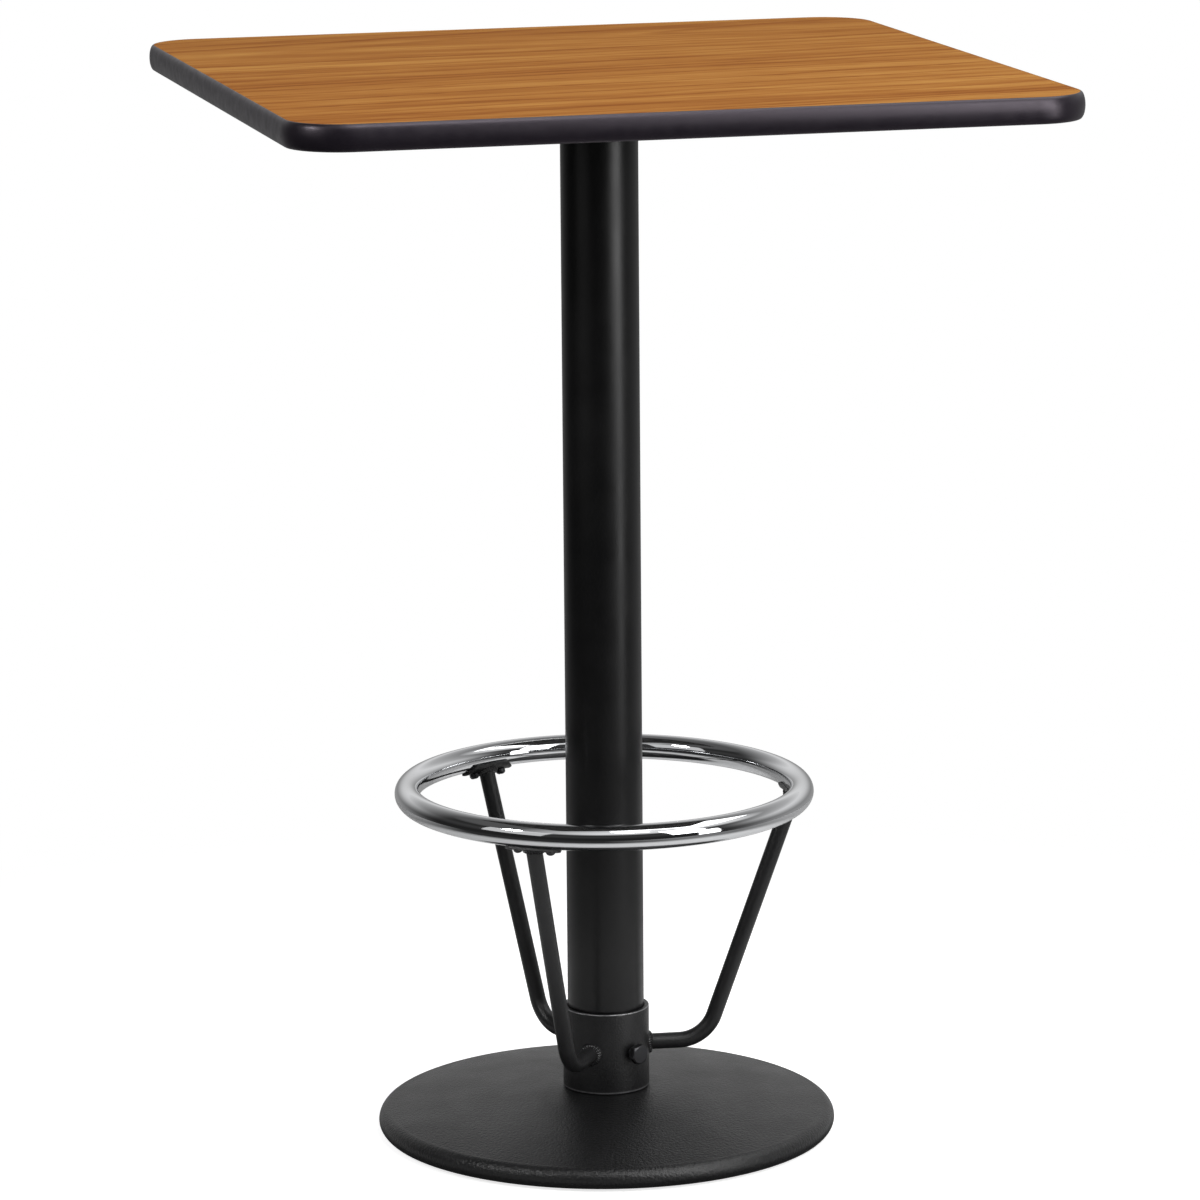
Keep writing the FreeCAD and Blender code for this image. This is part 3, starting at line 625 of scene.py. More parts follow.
class PUBTABLE_OT_edge(bpy.types.Operator):
    """Sweep the edge moulding: half an ellipse outside and a barbed tongue inside."""
    bl_idname = "pub_table.edge"
    bl_label = "Edge moulding"

    def execute(self, context):
        top = context.scene.pub_table_top
        outer = high("edge_moulding") - low("edge_moulding")
        panel = high("top_laminate") - low("top_laminate")
        crown, half = (outer[0] - panel[0]) / 2, outer[2] / 2
        path, out = moulding_path(panel[0], panel[1], top.corner - crown, top.seam)
        t = np.linspace(-math.pi / 2, math.pi / 2, 33)
        head = np.stack([SEAT_FIT + (crown - SEAT_FIT) * np.cos(t), half * np.sin(t)], 1)
        pitch = (top.tongue_length - top.neck) / top.barbs
        barbs = [(-top.neck - pitch * (i + step), top.tongue / 2 + rise)
                 for i in range(top.barbs) for step, rise in ((0, 0), (0, top.barb), (1, 0))]
        upper = np.array([(SEAT_FIT, top.tongue / 2), *barbs])
        outline = np.concatenate([head, upper, upper[::-1] * (1, -1)])
        points = np.zeros((len(path), len(outline), 3))
        points[:, :, :2] = path[:, None] + out[:, None] * outline[None, :, :1]
        points[:, :, 2] = high("edge_moulding")[2] - half + outline[:, 1]
        along, round_it = (np.cumsum(np.linalg.norm(np.diff(line, axis=0, prepend=line[:1]), axis=1))
                           for line in (path, outline))
        flow = np.zeros_like(points)
        flow[:, :, 0], flow[:, :, 1] = along[:, None], round_it[None]
        make_piece("edge_strip", [skin(points)], edge_vinyl(context.scene.pub_table_finish.vinyl),
                   "table", ["edge_moulding"], flow=flow)
        return {"FINISHED"}


class PUBTABLE_OT_spider(bpy.types.Operator):
    """Cast the spider: a hub turned about the column, and four arms of T section whose flange
    narrows to a round tip and whose rib runs out to nothing."""
    bl_idname = "pub_table.spider"
    bl_label = "Mounting spider"

    def execute(self, context):
        sizes = context.scene.pub_table_frame
        foot, top = levels("mounting_spider")
        skins = [skin(self.hub(sizes, foot, top), looped=True)]
        skins += [skin(spun(self.arm(sizes, foot, top), t)) for t in QUARTERS]
        make_piece("spider_casting", skins, finish(context, "textured_powder_coat"), "table",
                   ["mounting_spider"])
        return {"FINISHED"}

    def hub(self, sizes, foot, top):
        """Socket for the column below, a web with the tie rod's hole, and the nut's pocket above."""
        socket = COLUMN_R + SOCKET_FIT
        outer = socket + sizes.hub_wall
        roof = foot + sizes.socket
        pocket = high("tie_rod_top_washer")[0] + WASHER_FIT
        rod = high("tie_rod")[0] + TIE_ROD_FIT
        ease = np.array([0.8, 2.5, *[0.3] * 6]) * MM
        return lathe(eased([(socket, foot), (outer, foot), (outer, top), (pocket, top),
                            (pocket, roof + sizes.web), (rod, roof + sizes.web), (rod, roof),
                            (socket, roof)], ease))

    def arm(self, sizes, foot, top):
        """Rows of T section from the hub out to the tip, with w the flange's half width and fall
        the rib's depth."""
        start_r = COLUMN_R + sizes.hub_wall / 2
        root, half_tip = sizes.arm_root / 2, sizes.arm_tip / 2
        tip = sizes.arm_spread / 2 - half_tip
        swing = np.linspace(0, 0.97, 12)[1:] * math.pi / 2
        straight = np.linspace(start_r, tip, 24)
        r = np.concatenate([straight, tip + half_tip * np.sin(swing)])
        w = np.concatenate([root + (half_tip - root) * straight / tip, half_tip * np.cos(swing)])
        rib_end = sizes.arm_spread / 2 - sizes.rib_run
        flange = top - sizes.flange
        share = np.clip((rib_end - r) / (rib_end - start_r), 0, 1)
        fall = (flange - foot - sizes.hub_wall) * share
        rib = np.minimum(sizes.arm_rib / 2, w * 0.6)
        fillet = np.minimum(np.minimum(3 * MM, fall), w * 0.3)
        ease = np.minimum(1.2 * MM, w * 0.3)
        flat = 0 * r + flange
        side = [(w, 0 * r + top), (w, flange + ease), (w - 0.3 * ease, flange + 0.3 * ease),
                (w - ease, flat), (rib + fillet, flat), (rib + 0.3 * fillet, flange - 0.3 * fillet),
                (rib, flange - fillet), (rib, flange - np.maximum(fall - ease, fillet)),
                (np.maximum(rib - ease, 0), flange - fall)]
        side = np.array(side).transpose(2, 0, 1)
        loop = np.concatenate([side, side[:, ::-1] * (-1, 1)], 1)
        return np.concatenate([np.broadcast_to(r[:, None, None], loop.shape[:2] + (1,)), loop], -1)


class PUBTABLE_OT_top_screws(bpy.types.Operator):
    """Drive pan-head wood screws up through the spider, two to each arm."""
    bl_idname = "pub_table.top_screws"
    bl_label = "Wood screws"

    def execute(self, context):
        sizes = context.scene.pub_table_frame
        foot, top = levels("spider_screws")
        seat = high("mounting_spider")[2] - sizes.flange
        outer = sizes.arm_spread / 2 - sizes.screw_inset
        head = pan_head(sizes.screw_head, seat - foot)
        shank = thread(sizes.screw, WOOD_PITCH, top - seat - sizes.screw_point, 24)
        skins = []
        for i in range(8):
            at = polar(outer - sizes.screw_pitch * (i % 2), QUARTERS[i // 2], seat)
            skins += [skin(placed(head, at, (0, 0, -1), (math.cos(i), math.sin(i), 0))),
                      skin(placed(shank, at, (0, 0, 1), (1, 0, 0)))]
        make_piece("top_screws", skins, finish(context, "zinc_plate"), "table",
                   ["spider_screws"])
        return {"FINISHED"}


class PUBTABLE_OT_column(bpy.types.Operator):
    """Turn the column: a plain tube with eased ends."""
    bl_idname = "pub_table.column"
    bl_label = "Column"

    def execute(self, context):
        inner = COLUMN_R - context.scene.pub_table_frame.column_wall
        foot, top = levels("column_tube")
        ease = 0.4 * MM
        outline = eased([(inner, foot), (COLUMN_R, foot), (COLUMN_R, top), (inner, top)], ease)
        make_piece("column", [skin(lathe(outline, 192), looped=True)],
                   finish(context, "satin_powder_coat"), "table",
                   ["column_tube"])
        return {"FINISHED"}


class PUBTABLE_OT_tie_rod(bpy.types.Operator):
    """Dress the tie rod with its nuts and washers."""
    bl_idname = "pub_table.tie_rod"
    bl_label = "Tie rod"

    def execute(self, context):
        dress(finish(context, "zinc_plate"), "tie_rod", "tie_rod_top_washer", "tie_rod_top_nut",
              "tie_rod_bottom_washer", "tie_rod_bottom_nut")
        return {"FINISHED"}


class PUBTABLE_OT_base(bpy.types.Operator):
    """Cast the base: a turned shell with a hub, and ribs and glide bosses under its dome."""
    bl_idname = "pub_table.base"
    bl_label = "Base"

    def execute(self, context):
        sizes = context.scene.pub_table_frame
        self.edge = high("base_disc")[0]
        self.crease = self.edge - sizes.rim
        self.widest = sizes.rim_top - sizes.rim
        self.hub = COLUMN_R + sizes.hub_step
        skins = [skin(lathe(self.shell(sizes), 192), looped=True)]
        skins += [skin(spun(part, t)) for part in (self.rib(sizes), self.boss(sizes))
                  for t in QUARTERS]
        make_piece("base_casting", skins, finish(context, "textured_powder_coat"), "table",
                   ["base_disc"], crisp=25)
        return {"FINISHED"}

    def dome(self, sizes, r):
        """Height of the dome: a line from pad to crease with 4 bulge u (1 - u) on top."""
        u = np.clip((r - sizes.pad) / (self.crease - sizes.pad), 0, 1)
        return sizes.base_top + (sizes.rim_top - sizes.base_top) * u + 4 * sizes.bulge * u * (1 - u)

    def shell(self, sizes):
        """Outline round hub, spigot, pad, dome, rim, lip and the dome's underside. The rim is a
        quarter round above its widest line and a flatter arc, of radius (drop^2 + tuck^2) / 2
        tuck, below it."""
        spigot = COLUMN_R - sizes.column_wall - SPIGOT_FIT
        bore, tall, pad_z = spigot - sizes.spigot_wall, high("base_disc")[2], sizes.base_top
        rod, foot = high("tie_rod")[0] + TIE_ROD_FIT, high("tie_rod_bottom_washer")[2]
        middle = [(self.hub, foot), (rod, foot), (rod, pad_z), (bore, pad_z), (bore, tall),
                  (spigot, tall), (spigot, pad_z), (sizes.pad - 1 * MM, pad_z)]
        r = np.append(np.linspace(sizes.pad, self.crease, 30)[:-1], self.crease - 0.5 * MM)
        a = np.linspace(math.pi / 2, 0, 14)
        rim = np.stack([self.crease + sizes.rim * np.cos(a), self.widest + sizes.rim * np.sin(a)], 1)
        lip, step = sizes.base_lip, 0.8 * MM
        drop = self.widest - lip
        bow = (drop ** 2 + sizes.tuck ** 2) / (2 * sizes.tuck)
        b = np.linspace(0, 0.94 * math.atan2(drop, bow - sizes.tuck), 10)[1:]
        tuck = np.stack([self.edge - bow * (1 - np.cos(b)), self.widest - bow * np.sin(b)], 1)
        foot_r = self.edge - sizes.tuck
        inner = foot_r - sizes.base_wall
        foot_edge = [(foot_r - step, lip), (inner + step, lip),
                     (inner + 0.25 * step, lip + 0.25 * step), (inner, lip + step),
                     (inner, self.widest)]
        under = np.linspace(self.crease - sizes.base_wall / 2, self.hub, 20)
        return np.concatenate([middle, np.stack([r, self.dome(sizes, r)], 1), rim, tuck, foot_edge,
                               np.stack([under, self.dome(sizes, under) - sizes.base_wall], 1)])

    def rib(self, sizes):
        """Bar from the hub to the rim with an eased lower edge, sunk half a wall into the roof."""
        half, w, foot, ease = sizes.base_wall / 2, sizes.rib / 2, sizes.rib_foot, sizes.rib_ease
        r = np.linspace(self.hub - 1 * MM, self.edge - sizes.tuck - half, 20)
        roof = self.dome(sizes, r) - half
        roof = np.where(r > self.crease, np.minimum(roof, self.widest), roof)
        side = np.array([(-w, ease), (-w + 0.25 * ease, 0.25 * ease), (-w + ease, 0)])
        side = np.concatenate([side, side[::-1] * (-1, 1)])
        bar = np.zeros((len(r), len(side) + 2, 3))
        bar[:, :, 0] = r[:, None]
        bar[:, 1:-1, 1:] = side + (0, foot)
        bar[:, 0, 1], bar[:, -1, 1] = -w, w
        bar[:, 0, 2] = bar[:, -1, 2] = np.maximum(roof, foot + 1.05 * ease)
        return bar

    def boss(self, sizes):
        """Blind tapped boss for a glide's stud."""
        stud_low, stud_high = low("glide_stud_1"), high("glide_stud_1")
        away = math.hypot(*(stud_low + stud_high)[:2]) / 2
        bore = (stud_high[0] - stud_low[0]) / 2 + STUD_FIT
        wall, foot = bore + sizes.boss_wall, sizes.rib_foot
        end_z = stud_high[2] + sizes.boss_end
        roof = float(self.dome(sizes, away + wall)) - sizes.base_wall / 2
        outline = eased([(0, end_z), (bore, end_z), (bore, foot), (wall, foot), (wall, roof),
                         (0, roof)], np.array([0, 0, 0.3, 1.5, 0, 0]) * MM)
        return lathe(outline, 48) + (away, 0, 0)


class PUBTABLE_OT_glides(bpy.types.Operator):
    """Mould the four levelling feet round their threaded studs."""
    bl_idname = "pub_table.glides"
    bl_label = "Levelling glides"

    def execute(self, context):
        nylon = moulded_nylon(context.scene.pub_table_finish.nylon)
        zinc = finish(context, "zinc_plate")
        hollow = 0.4 * MM
        for i in range(1, 5):
            foot, stud, body = f"glide_foot_{i}", f"glide_stud_{i}", f"glide_{i}"
            x, y = (low(foot) + high(foot))[:2] / 2
            r, top = (high(foot)[0] - low(foot)[0]) / 2, high(foot)[2]
            bore = (high(stud)[0] - low(stud)[0]) / 2
            set_z, end_z = levels(stud)
            outline = eased([(0, hollow), (0.55 * r, hollow), (0.62 * r, 0), (r, 0), (r, top),
                             (bore, top), (bore, set_z), (0, set_z)],
                            np.array([0, 0.3, 0.3, 2, 0.6, 0.2, 0.2, 0]) * MM)
            make_piece(f"glide_pad_{i}", [skin(lathe(outline, 64) + (x, y, 0))], nylon, body,
                       [foot])
            bolt = thread(bore, GLIDE_PITCH, end_z - set_z, 40) + (x, y, set_z)
            make_piece(f"glide_thread_{i}", [skin(bolt)], zinc, body, [stud])
        return {"FINISHED"}


class RingPlan:
    """Places read from the frame: the collar, the ring, and the turns and lean of the rods."""

    def __init__(self, ring):
        lower, upper = low("foot_ring_tube"), high("foot_ring_tube")
        self.tube = (upper[2] - lower[2]) / 2
        self.radius = (upper[0] - lower[0]) / 2 - self.tube
        self.level = (upper[2] + lower[2]) / 2
        self.collar = high("clamp_collar")[0]
        self.arm = sum(levels("clamp_collar")) / 2
        axes = [AXES[f"set_bolt_{i}_slack"] for i in (1, 2)]
        self.bolts = [math.atan2(axis[1], axis[0]) for axis in axes]
        self.turns = self.bolts[0] + TAU / 6 * np.array([-1, 1, 3])
        self.corner = self.collar + ring.stub
        self.lean = math.atan2(self.radius - self.corner, self.level - self.arm)
        self.hug = self.tube + SEAT_FIT + ring.saddle
        self.up = np.array([math.sin(self.lean), 0, math.cos(self.lean)])
        self.across = np.array([math.cos(self.lean), 0, -math.sin(self.lean)])
        self.centre = np.array([self.radius, 0, self.level])


class PUBTABLE_OT_collar(bpy.types.Operator):
    """Turn the collar: a sleeve with eased ends, with painted highlight lines on its two rims."""
    bl_idname = "pub_table.collar"
    bl_label = "Clamp collar"

    def execute(self, context):
        bore, r = COLUMN_R + COLLAR_FIT, high("clamp_collar")[0]
        foot, top = levels("clamp_collar")
        outline = eased([(bore, foot), (r, foot), (r, top), (bore, top)],
                        np.array([0.3, 1.8, 0.8, 0.3]) * MM)
        # Painted highlights: light steel-coloured, metallic lines on the collar's top rim and just above
        # its lower rim.
        coat = paint_rim_highlights(finish(context, "collar_powder_coat"),
                        [(r, foot + 1.6 * MM, 0.4), (r, top, 1.0)],
                        context.scene.pub_table_finish.highlight_steel)
        make_piece("collar", [skin(lathe(outline, 192), looped=True)], coat, "foot_ring",
                   ["clamp_collar"])
        return {"FINISHED"}


class PUBTABLE_OT_set_bolts(bpy.types.Operator):
    """Make the two hex set bolts: a threaded shank that runs a little into a chamfered head."""
    bl_idname = "pub_table.set_bolts"
    bl_label = "Set bolts"

    def execute(self, context):
        ring = context.scene.pub_table_ring
        plan = RingPlan(ring)
        tip, head, lap = COLUMN_R + ring.bolt_room, plan.collar + ring.standoff, 0.2 * MM
        shank = thread(ring.bolt / 2, BOLT_PITCH, head - tip + lap, 48)
        cap = hex_head(ring.bolt_flats, ring.bolt_head - lap)
        for i, angle in enumerate(plan.bolts, 1):
            parts = [placed(shank, polar(tip, angle, plan.arm), polar(1, angle, 0), (0, 0, 1)),
                     placed(cap, polar(head, angle, plan.arm), polar(1, angle, 0), (0, 0.35 * i, 1))]
            make_piece(f"set_bolt_{i}", [skin(part) for part in parts],
                       finish(context, "black_oxide_steel"), f"set_bolt_{i}",
                       [f"clamp_bolt_{i}"], crisp=20)
        return {"FINISHED"}


class PUBTABLE_OT_rods(bpy.types.Operator):
    """Bend the rods: a circle carried out from the collar, round one bend and up the lean. Its
    first row lies on the collar, x^2 + y^2 = R^2, and its last on the saddle's round."""
    bl_idname = "pub_table.rods"
    bl_label = "Bent rods"

    def execute(self, context):
        ring = context.scene.pub_table_ring
        plan = RingPlan(ring)
        sweep = math.pi / 2 - plan.lean
        begin = plan.corner - ring.bend * math.tan(sweep / 2)
        a = np.linspace(0, sweep, 25)
        arc = np.stack([begin + ring.bend * np.sin(a), plan.arm + ring.bend * (1 - np.cos(a))], 1)
        rise, top = plan.up[::2], plan.centre[::2]
        cope, hold = 4 * MM, 2 * MM
        run = np.array([(plan.collar + cope, plan.arm), (begin - hold, plan.arm)])
        climb = np.array([arc[-1] + hold * rise, top - (plan.hug + cope) * rise])
        line = np.concatenate([run[:1], run, arc, climb, climb[-1:]])
        tilt = np.concatenate([[0, 0, 0], a, [sweep] * 3])[:, None]
        s = around(48)
        lift, side = ring.rod * np.cos(s), ring.rod * np.sin(s)
        points = np.stack(np.broadcast_arrays(line[:, :1] - np.sin(tilt) * lift, side,
                                              line[:, 1:] + np.cos(tilt) * lift), -1)
        points[0, :, 0] = np.sqrt((plan.collar + SEAT_FIT) ** 2 - side ** 2)
        reach = np.sqrt((plan.hug + SEAT_FIT) ** 2 - lift ** 2)
        points[-1, :, 0] = top[0] - rise[0] * reach - rise[1] * lift
        points[-1, :, 2] = top[1] - rise[1] * reach + rise[0] * lift
        for i, angle in enumerate(plan.turns, 1):
            make_piece(f"bent_rod_{i}", [skin(spun(points, angle))],
                       finish(context, "grained_powder_coat"), "foot_ring",
                       [f"support_rod_{i}"])
        return {"FINISHED"}


class PUBTABLE_OT_saddles(bpy.types.Operator):
    """Press the saddles: a plate on a torus about the ring's centre line, whose span of the
    tube's round narrows at both ends by the clipped corners."""
    bl_idname = "pub_table.saddles"
    bl_label = "Ring saddles"

    def execute(self, context):
        ring = context.scene.pub_table_ring
        plan = RingPlan(ring)
        half, inside = ring.saddle_length / 2, ring.saddle_length / 2 - ring.saddle_clip
        s = np.concatenate([np.linspace(-half, -inside, 6), np.linspace(-inside, inside, 11)[1:-1],
                            np.linspace(inside, half, 6)])
        width = plan.hug * math.sin(ring.saddle_span / 2) - np.maximum(np.abs(s) - inside, 0)
        b = np.arcsin(width / plan.hug)[:, None] * np.linspace(-1, 1, 17)
        b = np.concatenate([b, b[:, ::-1]], 1)[..., None]
        r = np.repeat([plan.hug, plan.hug - ring.saddle], 17)[:, None]
        spot = plan.centre - r * np.cos(b) * plan.up + r * np.sin(b) * plan.across
        plate = polar(spot[..., 0], (s / plan.radius)[:, None], spot[..., 2])
        for i, angle in enumerate(plan.turns, 1):
            piece = make_piece(f"saddle_plate_{i}", [skin(spun(plate, angle))],
                               finish(context, "grained_powder_coat"), "foot_ring",
                               [f"ring_saddle_{i}"])
            ease_edges(piece, 0.6 * MM)
        return {"FINISHED"}


class PUBTABLE_OT_saddle_screws(bpy.types.Operator):
    """Drive two pan-head screws up through each saddle into the ring."""
    bl_idname = "pub_table.saddle_screws"
    bl_label = "Saddle screws"

    def execute(self, context):
        ring = context.scene.pub_table_ring
        plan = RingPlan(ring)
        seat = plan.centre - (plan.hug + SEAT_FIT) * plan.up
        head = placed(pan_head(ring.screw_head, ring.screw_rise), seat, -plan.up, (0.3, 1, 0))
        shank = placed(thread(ring.screw, SADDLE_PITCH, ring.saddle + ring.screw_bite, 24), seat,
                       plan.up, (0, 1, 0))
        offset = ring.rod + ring.weld + ring.screw_gap + ring.screw_head
        swing = math.asin(offset / plan.radius)
        skins = [skin(spun(part, angle + way)) for angle in plan.turns
                 for way in (swing, -swing) for part in (head, shank)]
        make_piece("saddle_fixings", skins, finish(context, "black_oxide_steel"), "foot_ring",
                   ["saddle_screws"])
        return {"FINISHED"}


class PUBTABLE_OT_welds(bpy.types.Operator):
    """Lay a bead round each rod where it leaves the collar and where it meets its saddle."""
    bl_idname = "pub_table.welds"
    bl_label = "Weld beads"

    def execute(self, context):
        ring = context.scene.pub_table_ring
        plan = RingPlan(ring)
        paint = finish(context, "painted_weld")
        lower = bead(ring, (0, 0, plan.arm), np.array([1, 0, 0]), np.array([0, 1, 0]), plan.collar)
        upper = bead(ring, plan.centre, -plan.up, plan.across, plan.hug)
        for name, node, row in (("collar_beads", "collar_welds", lower),
                                ("saddle_beads", "saddle_welds", upper)):
            make_piece(name, [skin(spun(row, t), looped=True) for t in plan.turns], paint,
                       "foot_ring", [node], crisp=60)
        return {"FINISHED"}


class PUBTABLE_OT_ring(bpy.types.Operator):
    """Roll the ring, a torus: ((R + r cos s) cos t, (R + r cos s) sin t, z + r sin s)."""
    bl_idname = "pub_table.ring"
    bl_label = "Foot ring"

    def execute(self, context):
        plan = RingPlan(context.scene.pub_table_ring)
        s = around(72)
        circle = np.stack([plan.radius + plan.tube * np.cos(s), plan.level + plan.tube * np.sin(s)], 1)
        make_piece("ring", [skin(lathe(circle, 384), looped=True)], finish(context, "chrome_plate"),
                   "foot_ring", ["foot_ring_tube"])
        return {"FINISHED"}


class PUBTABLE_OT_stage(bpy.types.Operator):
    """Set the floor, the world, the lamps and the camera."""
    bl_idname = "pub_table.stage"
    bl_label = "Studio stage"

    def execute(self, context):
        stage = context.scene.pub_table_stage
        heading = np.array([math.sin(stage.swing), math.cos(stage.swing), 0])
        right = np.array([math.cos(stage.swing), -math.sin(stage.swing), 0])
        self.lay_floor(stage, heading, right)
        self.light_world(context.scene, heading, right)
        self.hang_lamps(heading, right)
        self.set_camera(context.scene, stage, heading, right)
        context.scene.view_settings.view_transform = "Standard"
        return {"FINISHED"}

    def lay_floor(self, stage, heading, right):
        """Flat disc, pale and matt. To the eye it turns plain white away from the table. In
        reflections it is lit out to the pool and dim past it, half as much behind the table and a
        little less to the right, and it is dim close round the base."""
        made, node, place = start("pale_floor")
        path = node("LightPath").outputs
        far = node("VectorMath", {0: place}, operation="LENGTH").outputs["Value"]
        ahead, aside = [node("VectorMath", {0: place, 1: way}, operation="DOT_PRODUCT").outputs["Value"]
                        for way in (-heading, right)]
        fade = node("MapRange", {"Value": far, "From Min": 0.3 * stage.floor,
                                 "From Max": 0.85 * stage.floor}, interpolation_type="SMOOTHSTEP")
        gone = node("MapRange", {"Value": far, "From Min": 0.8 * stage.pool,
                                 "From Max": 1.4 * stage.pool}, interpolation_type="SMOOTHSTEP")
        front = node("MapRange", {"Value": ahead, "From Min": -stage.pool,
                                  "From Max": 0.5 * stage.pool, "To Min": 0.5})
        side = node("MapRange", {"Value": aside, "From Max": stage.pool, "To Min": 1, "To Max": 0.8})
        foot = node("MapRange", {"Value": far, "From Min": stage.shade - stage.shade_edge,
                                 "From Max": stage.shade, "To Min": 0.9, "To Max": 0})
        for share, operation in ((front, "MULTIPLY"), (side, "MULTIPLY"), (foot, "MAXIMUM")):
            gone = node("Math", {0: gone, 1: share}, operation=operation)
        seen = node("Math", {0: path["Is Camera Ray"], 1: fade}, operation="MULTIPLY")
        dusk = node("Math", {0: path["Is Glossy Ray"], 1: gone}, operation="MULTIPLY")
        matt = node("BsdfDiffuse", {"Color": (*grey(0.82), 1)})
        lift = node("Emission", {"Strength": path["Is Camera Ray"], "Color": (*grey(0.75), 1)})
        lit = node("AddShader", {0: matt, 1: lift})
        dim, white = [node("Emission", {"Color": (*grey(level), 1)}) for level in (0.03, 1)]
        pooled = node("MixShader", {0: dusk, 1: lit, 2: dim})
        whole = node("MixShader", {0: seen, 1: pooled, 2: white})
        node("OutputMaterial", {"Surface": whole})
        mesh = bpy.data.meshes.new("floor")
        edge = polar(stage.floor, around(96), 0)
        mesh.from_pydata(edge, [], [list(range(len(edge)))])
        mesh.materials.append(made)
        floor = bpy.data.objects.new("floor", mesh)
        bpy.context.scene.collection.objects.link(floor)

    def light_world(self, scene, heading, right):
        """White for the camera; for reflections a pale backdrop behind the table and a little to
        its right, brightest well above the horizon, a dim room in front and a bright ceiling to
        the front right; an even fill for the rest."""
        world = bpy.data.worlds.new("studio")
        world.use_nodes = True
        scene.world = world
        world.node_tree.nodes.clear()
        node = partial(add, world.node_tree)
        path = node("LightPath").outputs
        way = node("TexCoord").outputs["Generated"]
        up = node("SeparateXYZ", {"Vector": way}).outputs["Z"]
        toward, near = [node("VectorMath", {0: way, 1: aim}, operation="DOT_PRODUCT").outputs["Value"]
                        for aim in (heading * 0.9 + right * 0.3, right * 0.6 - heading * 0.6)]
        back = node("MapRange", {"Value": toward, "From Min": -0.15, "From Max": 0.8,
                                 "To Min": 0.06}, interpolation_type="SMOOTHSTEP")
        share = node("MapRange", {"Value": up, "From Min": -1})
        height = node("ValToRGB", {"Fac": share},
                      stops=[(0, grey(0.3)), (1, grey(0.4)), (0.42, grey(0.32)), (0.5, grey(0.27)),
                             (0.55, grey(0.4)), (0.62, grey(0.66)), (0.67, grey(0.78)),
                             (0.74, grey(0.5)), (0.9, grey(0.2))])
        drop = node("Math", {0: back, 1: height}, operation="MULTIPLY")
        reach = node("MapRange", {"Value": near, "From Min": -0.2, "From Max": 0.4, "To Min": 0.1,
                                  "To Max": 0.9})
        above = node("MapRange", {"Value": up, "From Min": 0.5, "From Max": 0.72},
                     interpolation_type="SMOOTHSTEP")
        ceiling = node("Math", {0: reach, 1: above}, operation="MULTIPLY")
        room = node("Math", {0: drop, 1: ceiling}, operation="MAXIMUM")
        mirror, white, fill = [node("Background", {"Color": (*grey(1), 1), "Strength": strength})
                               for strength in (room, 1, 0.26)]
        shiny = node("Math", {0: path["Is Glossy Ray"], 1: path["Is Transmission Ray"]},
                     operation="MAXIMUM")
        rest = node("MixShader", {0: shiny, 1: fill, 2: mirror})
        whole = node("MixShader", {0: path["Is Camera Ray"], 1: rest, 2: white})
        node("OutputWorld", {"Surface": whole})

    def hang_lamps(self, heading, right):
        """Soft boxes: a large one overhead, one in front, a low strip to the right that the column
        mirrors, one to the left, and two small high ones for the glints on edges and welds. Each
        has its place, its height, its width and length, its watts and the height it points at."""
        lamps = [("overhead", 0.2 * heading + 1.3 * right, 4.2, (3.0, 3.0), 70, 0.9),
                 ("front_box", -1.9 * heading + 2.0 * right, 1.85, (1.1, 1.9), 38, 1.0),
                 ("front_top", -1.7 * heading + 0.6 * right, 3.0, (0.8, 0.8), 12, 0.5),
                 ("right_strip", -1.45 * heading + 2.2 * right, 0.6, (0.6, 1.4), 8, 0.6),
                 ("left_box", -2.0 * heading - 2.5 * right, 1.9, (2.2, 1.7), 7, 0.7),
                 ("left_top", -1.5 * heading - 2.3 * right, 2.45, (0.5, 0.5), 20, 0.9)]
        for name, away, height, (wide, tall), watts, aim in lamps:
            lamp = bpy.data.lights.new(name, "AREA")
            lamp.shape = "RECTANGLE"
            lamp.size, lamp.size_y, lamp.energy = wide, tall, watts
            holder = bpy.data.objects.new(name, lamp)
            bpy.context.scene.collection.objects.link(holder)
            place = np.array([away[0], away[1], height])
            z = place - np.array([0, 0, aim])
            z = z / np.linalg.norm(z)
            x = np.cross((0, 0, 1), z)
            x = x / np.linalg.norm(x)
            turned = np.eye(4)
            turned[:3, :3] = np.stack([x, np.cross(z, x), z], 1)
            turned[:3, 3] = place
            holder.matrix_world = Matrix(turned.tolist())
            holder.visible_camera = False

    def set_camera(self, scene, stage, heading, right):
        """The photograph's viewpoint: swung round the column, tilted down and leaning a little."""
        view = bpy.data.cameras.new("camera")
        view.lens, view.sensor_width, view.sensor_fit = stage.lens, 36, "HORIZONTAL"
        camera = bpy.data.objects.new("camera", view)
        scene.collection.objects.link(camera)
        place = stage.slide * right - stage.distance * heading
        aim = (Matrix.Rotation(-stage.swing, 4, "Z")
               @ Matrix.Rotation(math.pi / 2 - stage.pitch, 4, "X")
               @ Matrix.Rotation(stage.roll, 4, "Z"))
        camera.matrix_world = Matrix.Translation((place[0], place[1], stage.height)) @ aim
        scene.camera = camera


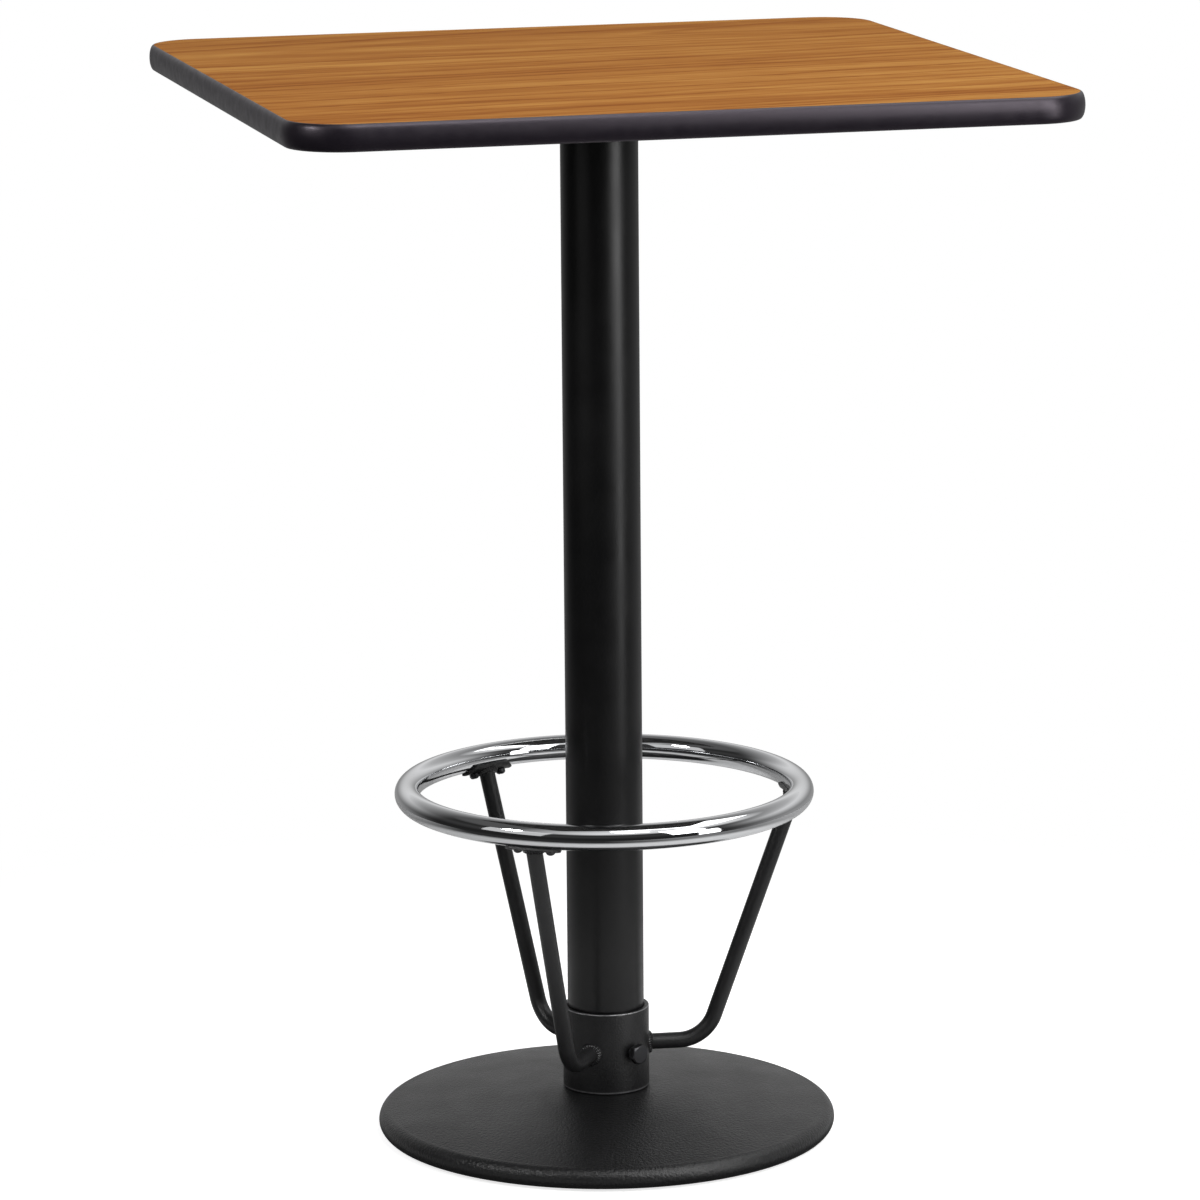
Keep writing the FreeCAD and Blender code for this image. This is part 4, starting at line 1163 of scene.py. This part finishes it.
class PUBTABLE_PT_sidebar(bpy.types.Panel):
    """Every piece of the table, with the sizes and colours it takes."""
    bl_idname = "PUBTABLE_PT_sidebar"
    bl_label = "Pub table"
    bl_space_type = "VIEW_3D"
    bl_region_type = "UI"
    bl_category = "Pub table"

    def draw(self, context):
        for operator in OPERATORS:
            self.layout.operator(operator.bl_idname)
        for name, group in SETTINGS.items():
            box = self.layout.box()
            box.label(text=group.__doc__)
            settings = getattr(context.scene, name)
            for field in group.__annotations__:
                box.prop(settings, field)


OPERATORS = (PUBTABLE_OT_panel, PUBTABLE_OT_edge, PUBTABLE_OT_spider, PUBTABLE_OT_top_screws,
             PUBTABLE_OT_column, PUBTABLE_OT_tie_rod, PUBTABLE_OT_base, PUBTABLE_OT_glides,
             PUBTABLE_OT_collar, PUBTABLE_OT_set_bolts, PUBTABLE_OT_rods, PUBTABLE_OT_saddles,
             PUBTABLE_OT_saddle_screws, PUBTABLE_OT_welds, PUBTABLE_OT_ring, PUBTABLE_OT_stage)
SETTINGS = {"pub_table_top": TopSettings, "pub_table_frame": FrameSettings,
            "pub_table_ring": RingSettings, "pub_table_finish": FinishSettings,
            "pub_table_stage": StageSettings}
CLASSES = (*SETTINGS.values(), *OPERATORS, PUBTABLE_PT_sidebar)


def register():
    for made in CLASSES:
        bpy.utils.register_class(made)
    for name, group in SETTINGS.items():
        setattr(bpy.types.Scene, name, PointerProperty(type=group))


def unregister():
    for name in SETTINGS:
        delattr(bpy.types.Scene, name)
    for made in reversed(CLASSES):
        bpy.utils.unregister_class(made)


def main():
    register()
    bpy.ops.pub_table.panel()
    bpy.ops.pub_table.edge()
    bpy.ops.pub_table.spider()
    bpy.ops.pub_table.top_screws()
    bpy.ops.pub_table.column()
    bpy.ops.pub_table.tie_rod()
    bpy.ops.pub_table.base()
    bpy.ops.pub_table.glides()
    bpy.ops.pub_table.collar()
    bpy.ops.pub_table.set_bolts()
    bpy.ops.pub_table.rods()
    bpy.ops.pub_table.saddles()
    bpy.ops.pub_table.saddle_screws()
    bpy.ops.pub_table.welds()
    bpy.ops.pub_table.ring()
    bpy.ops.pub_table.stage()


if __name__ == "__main__":
    main()
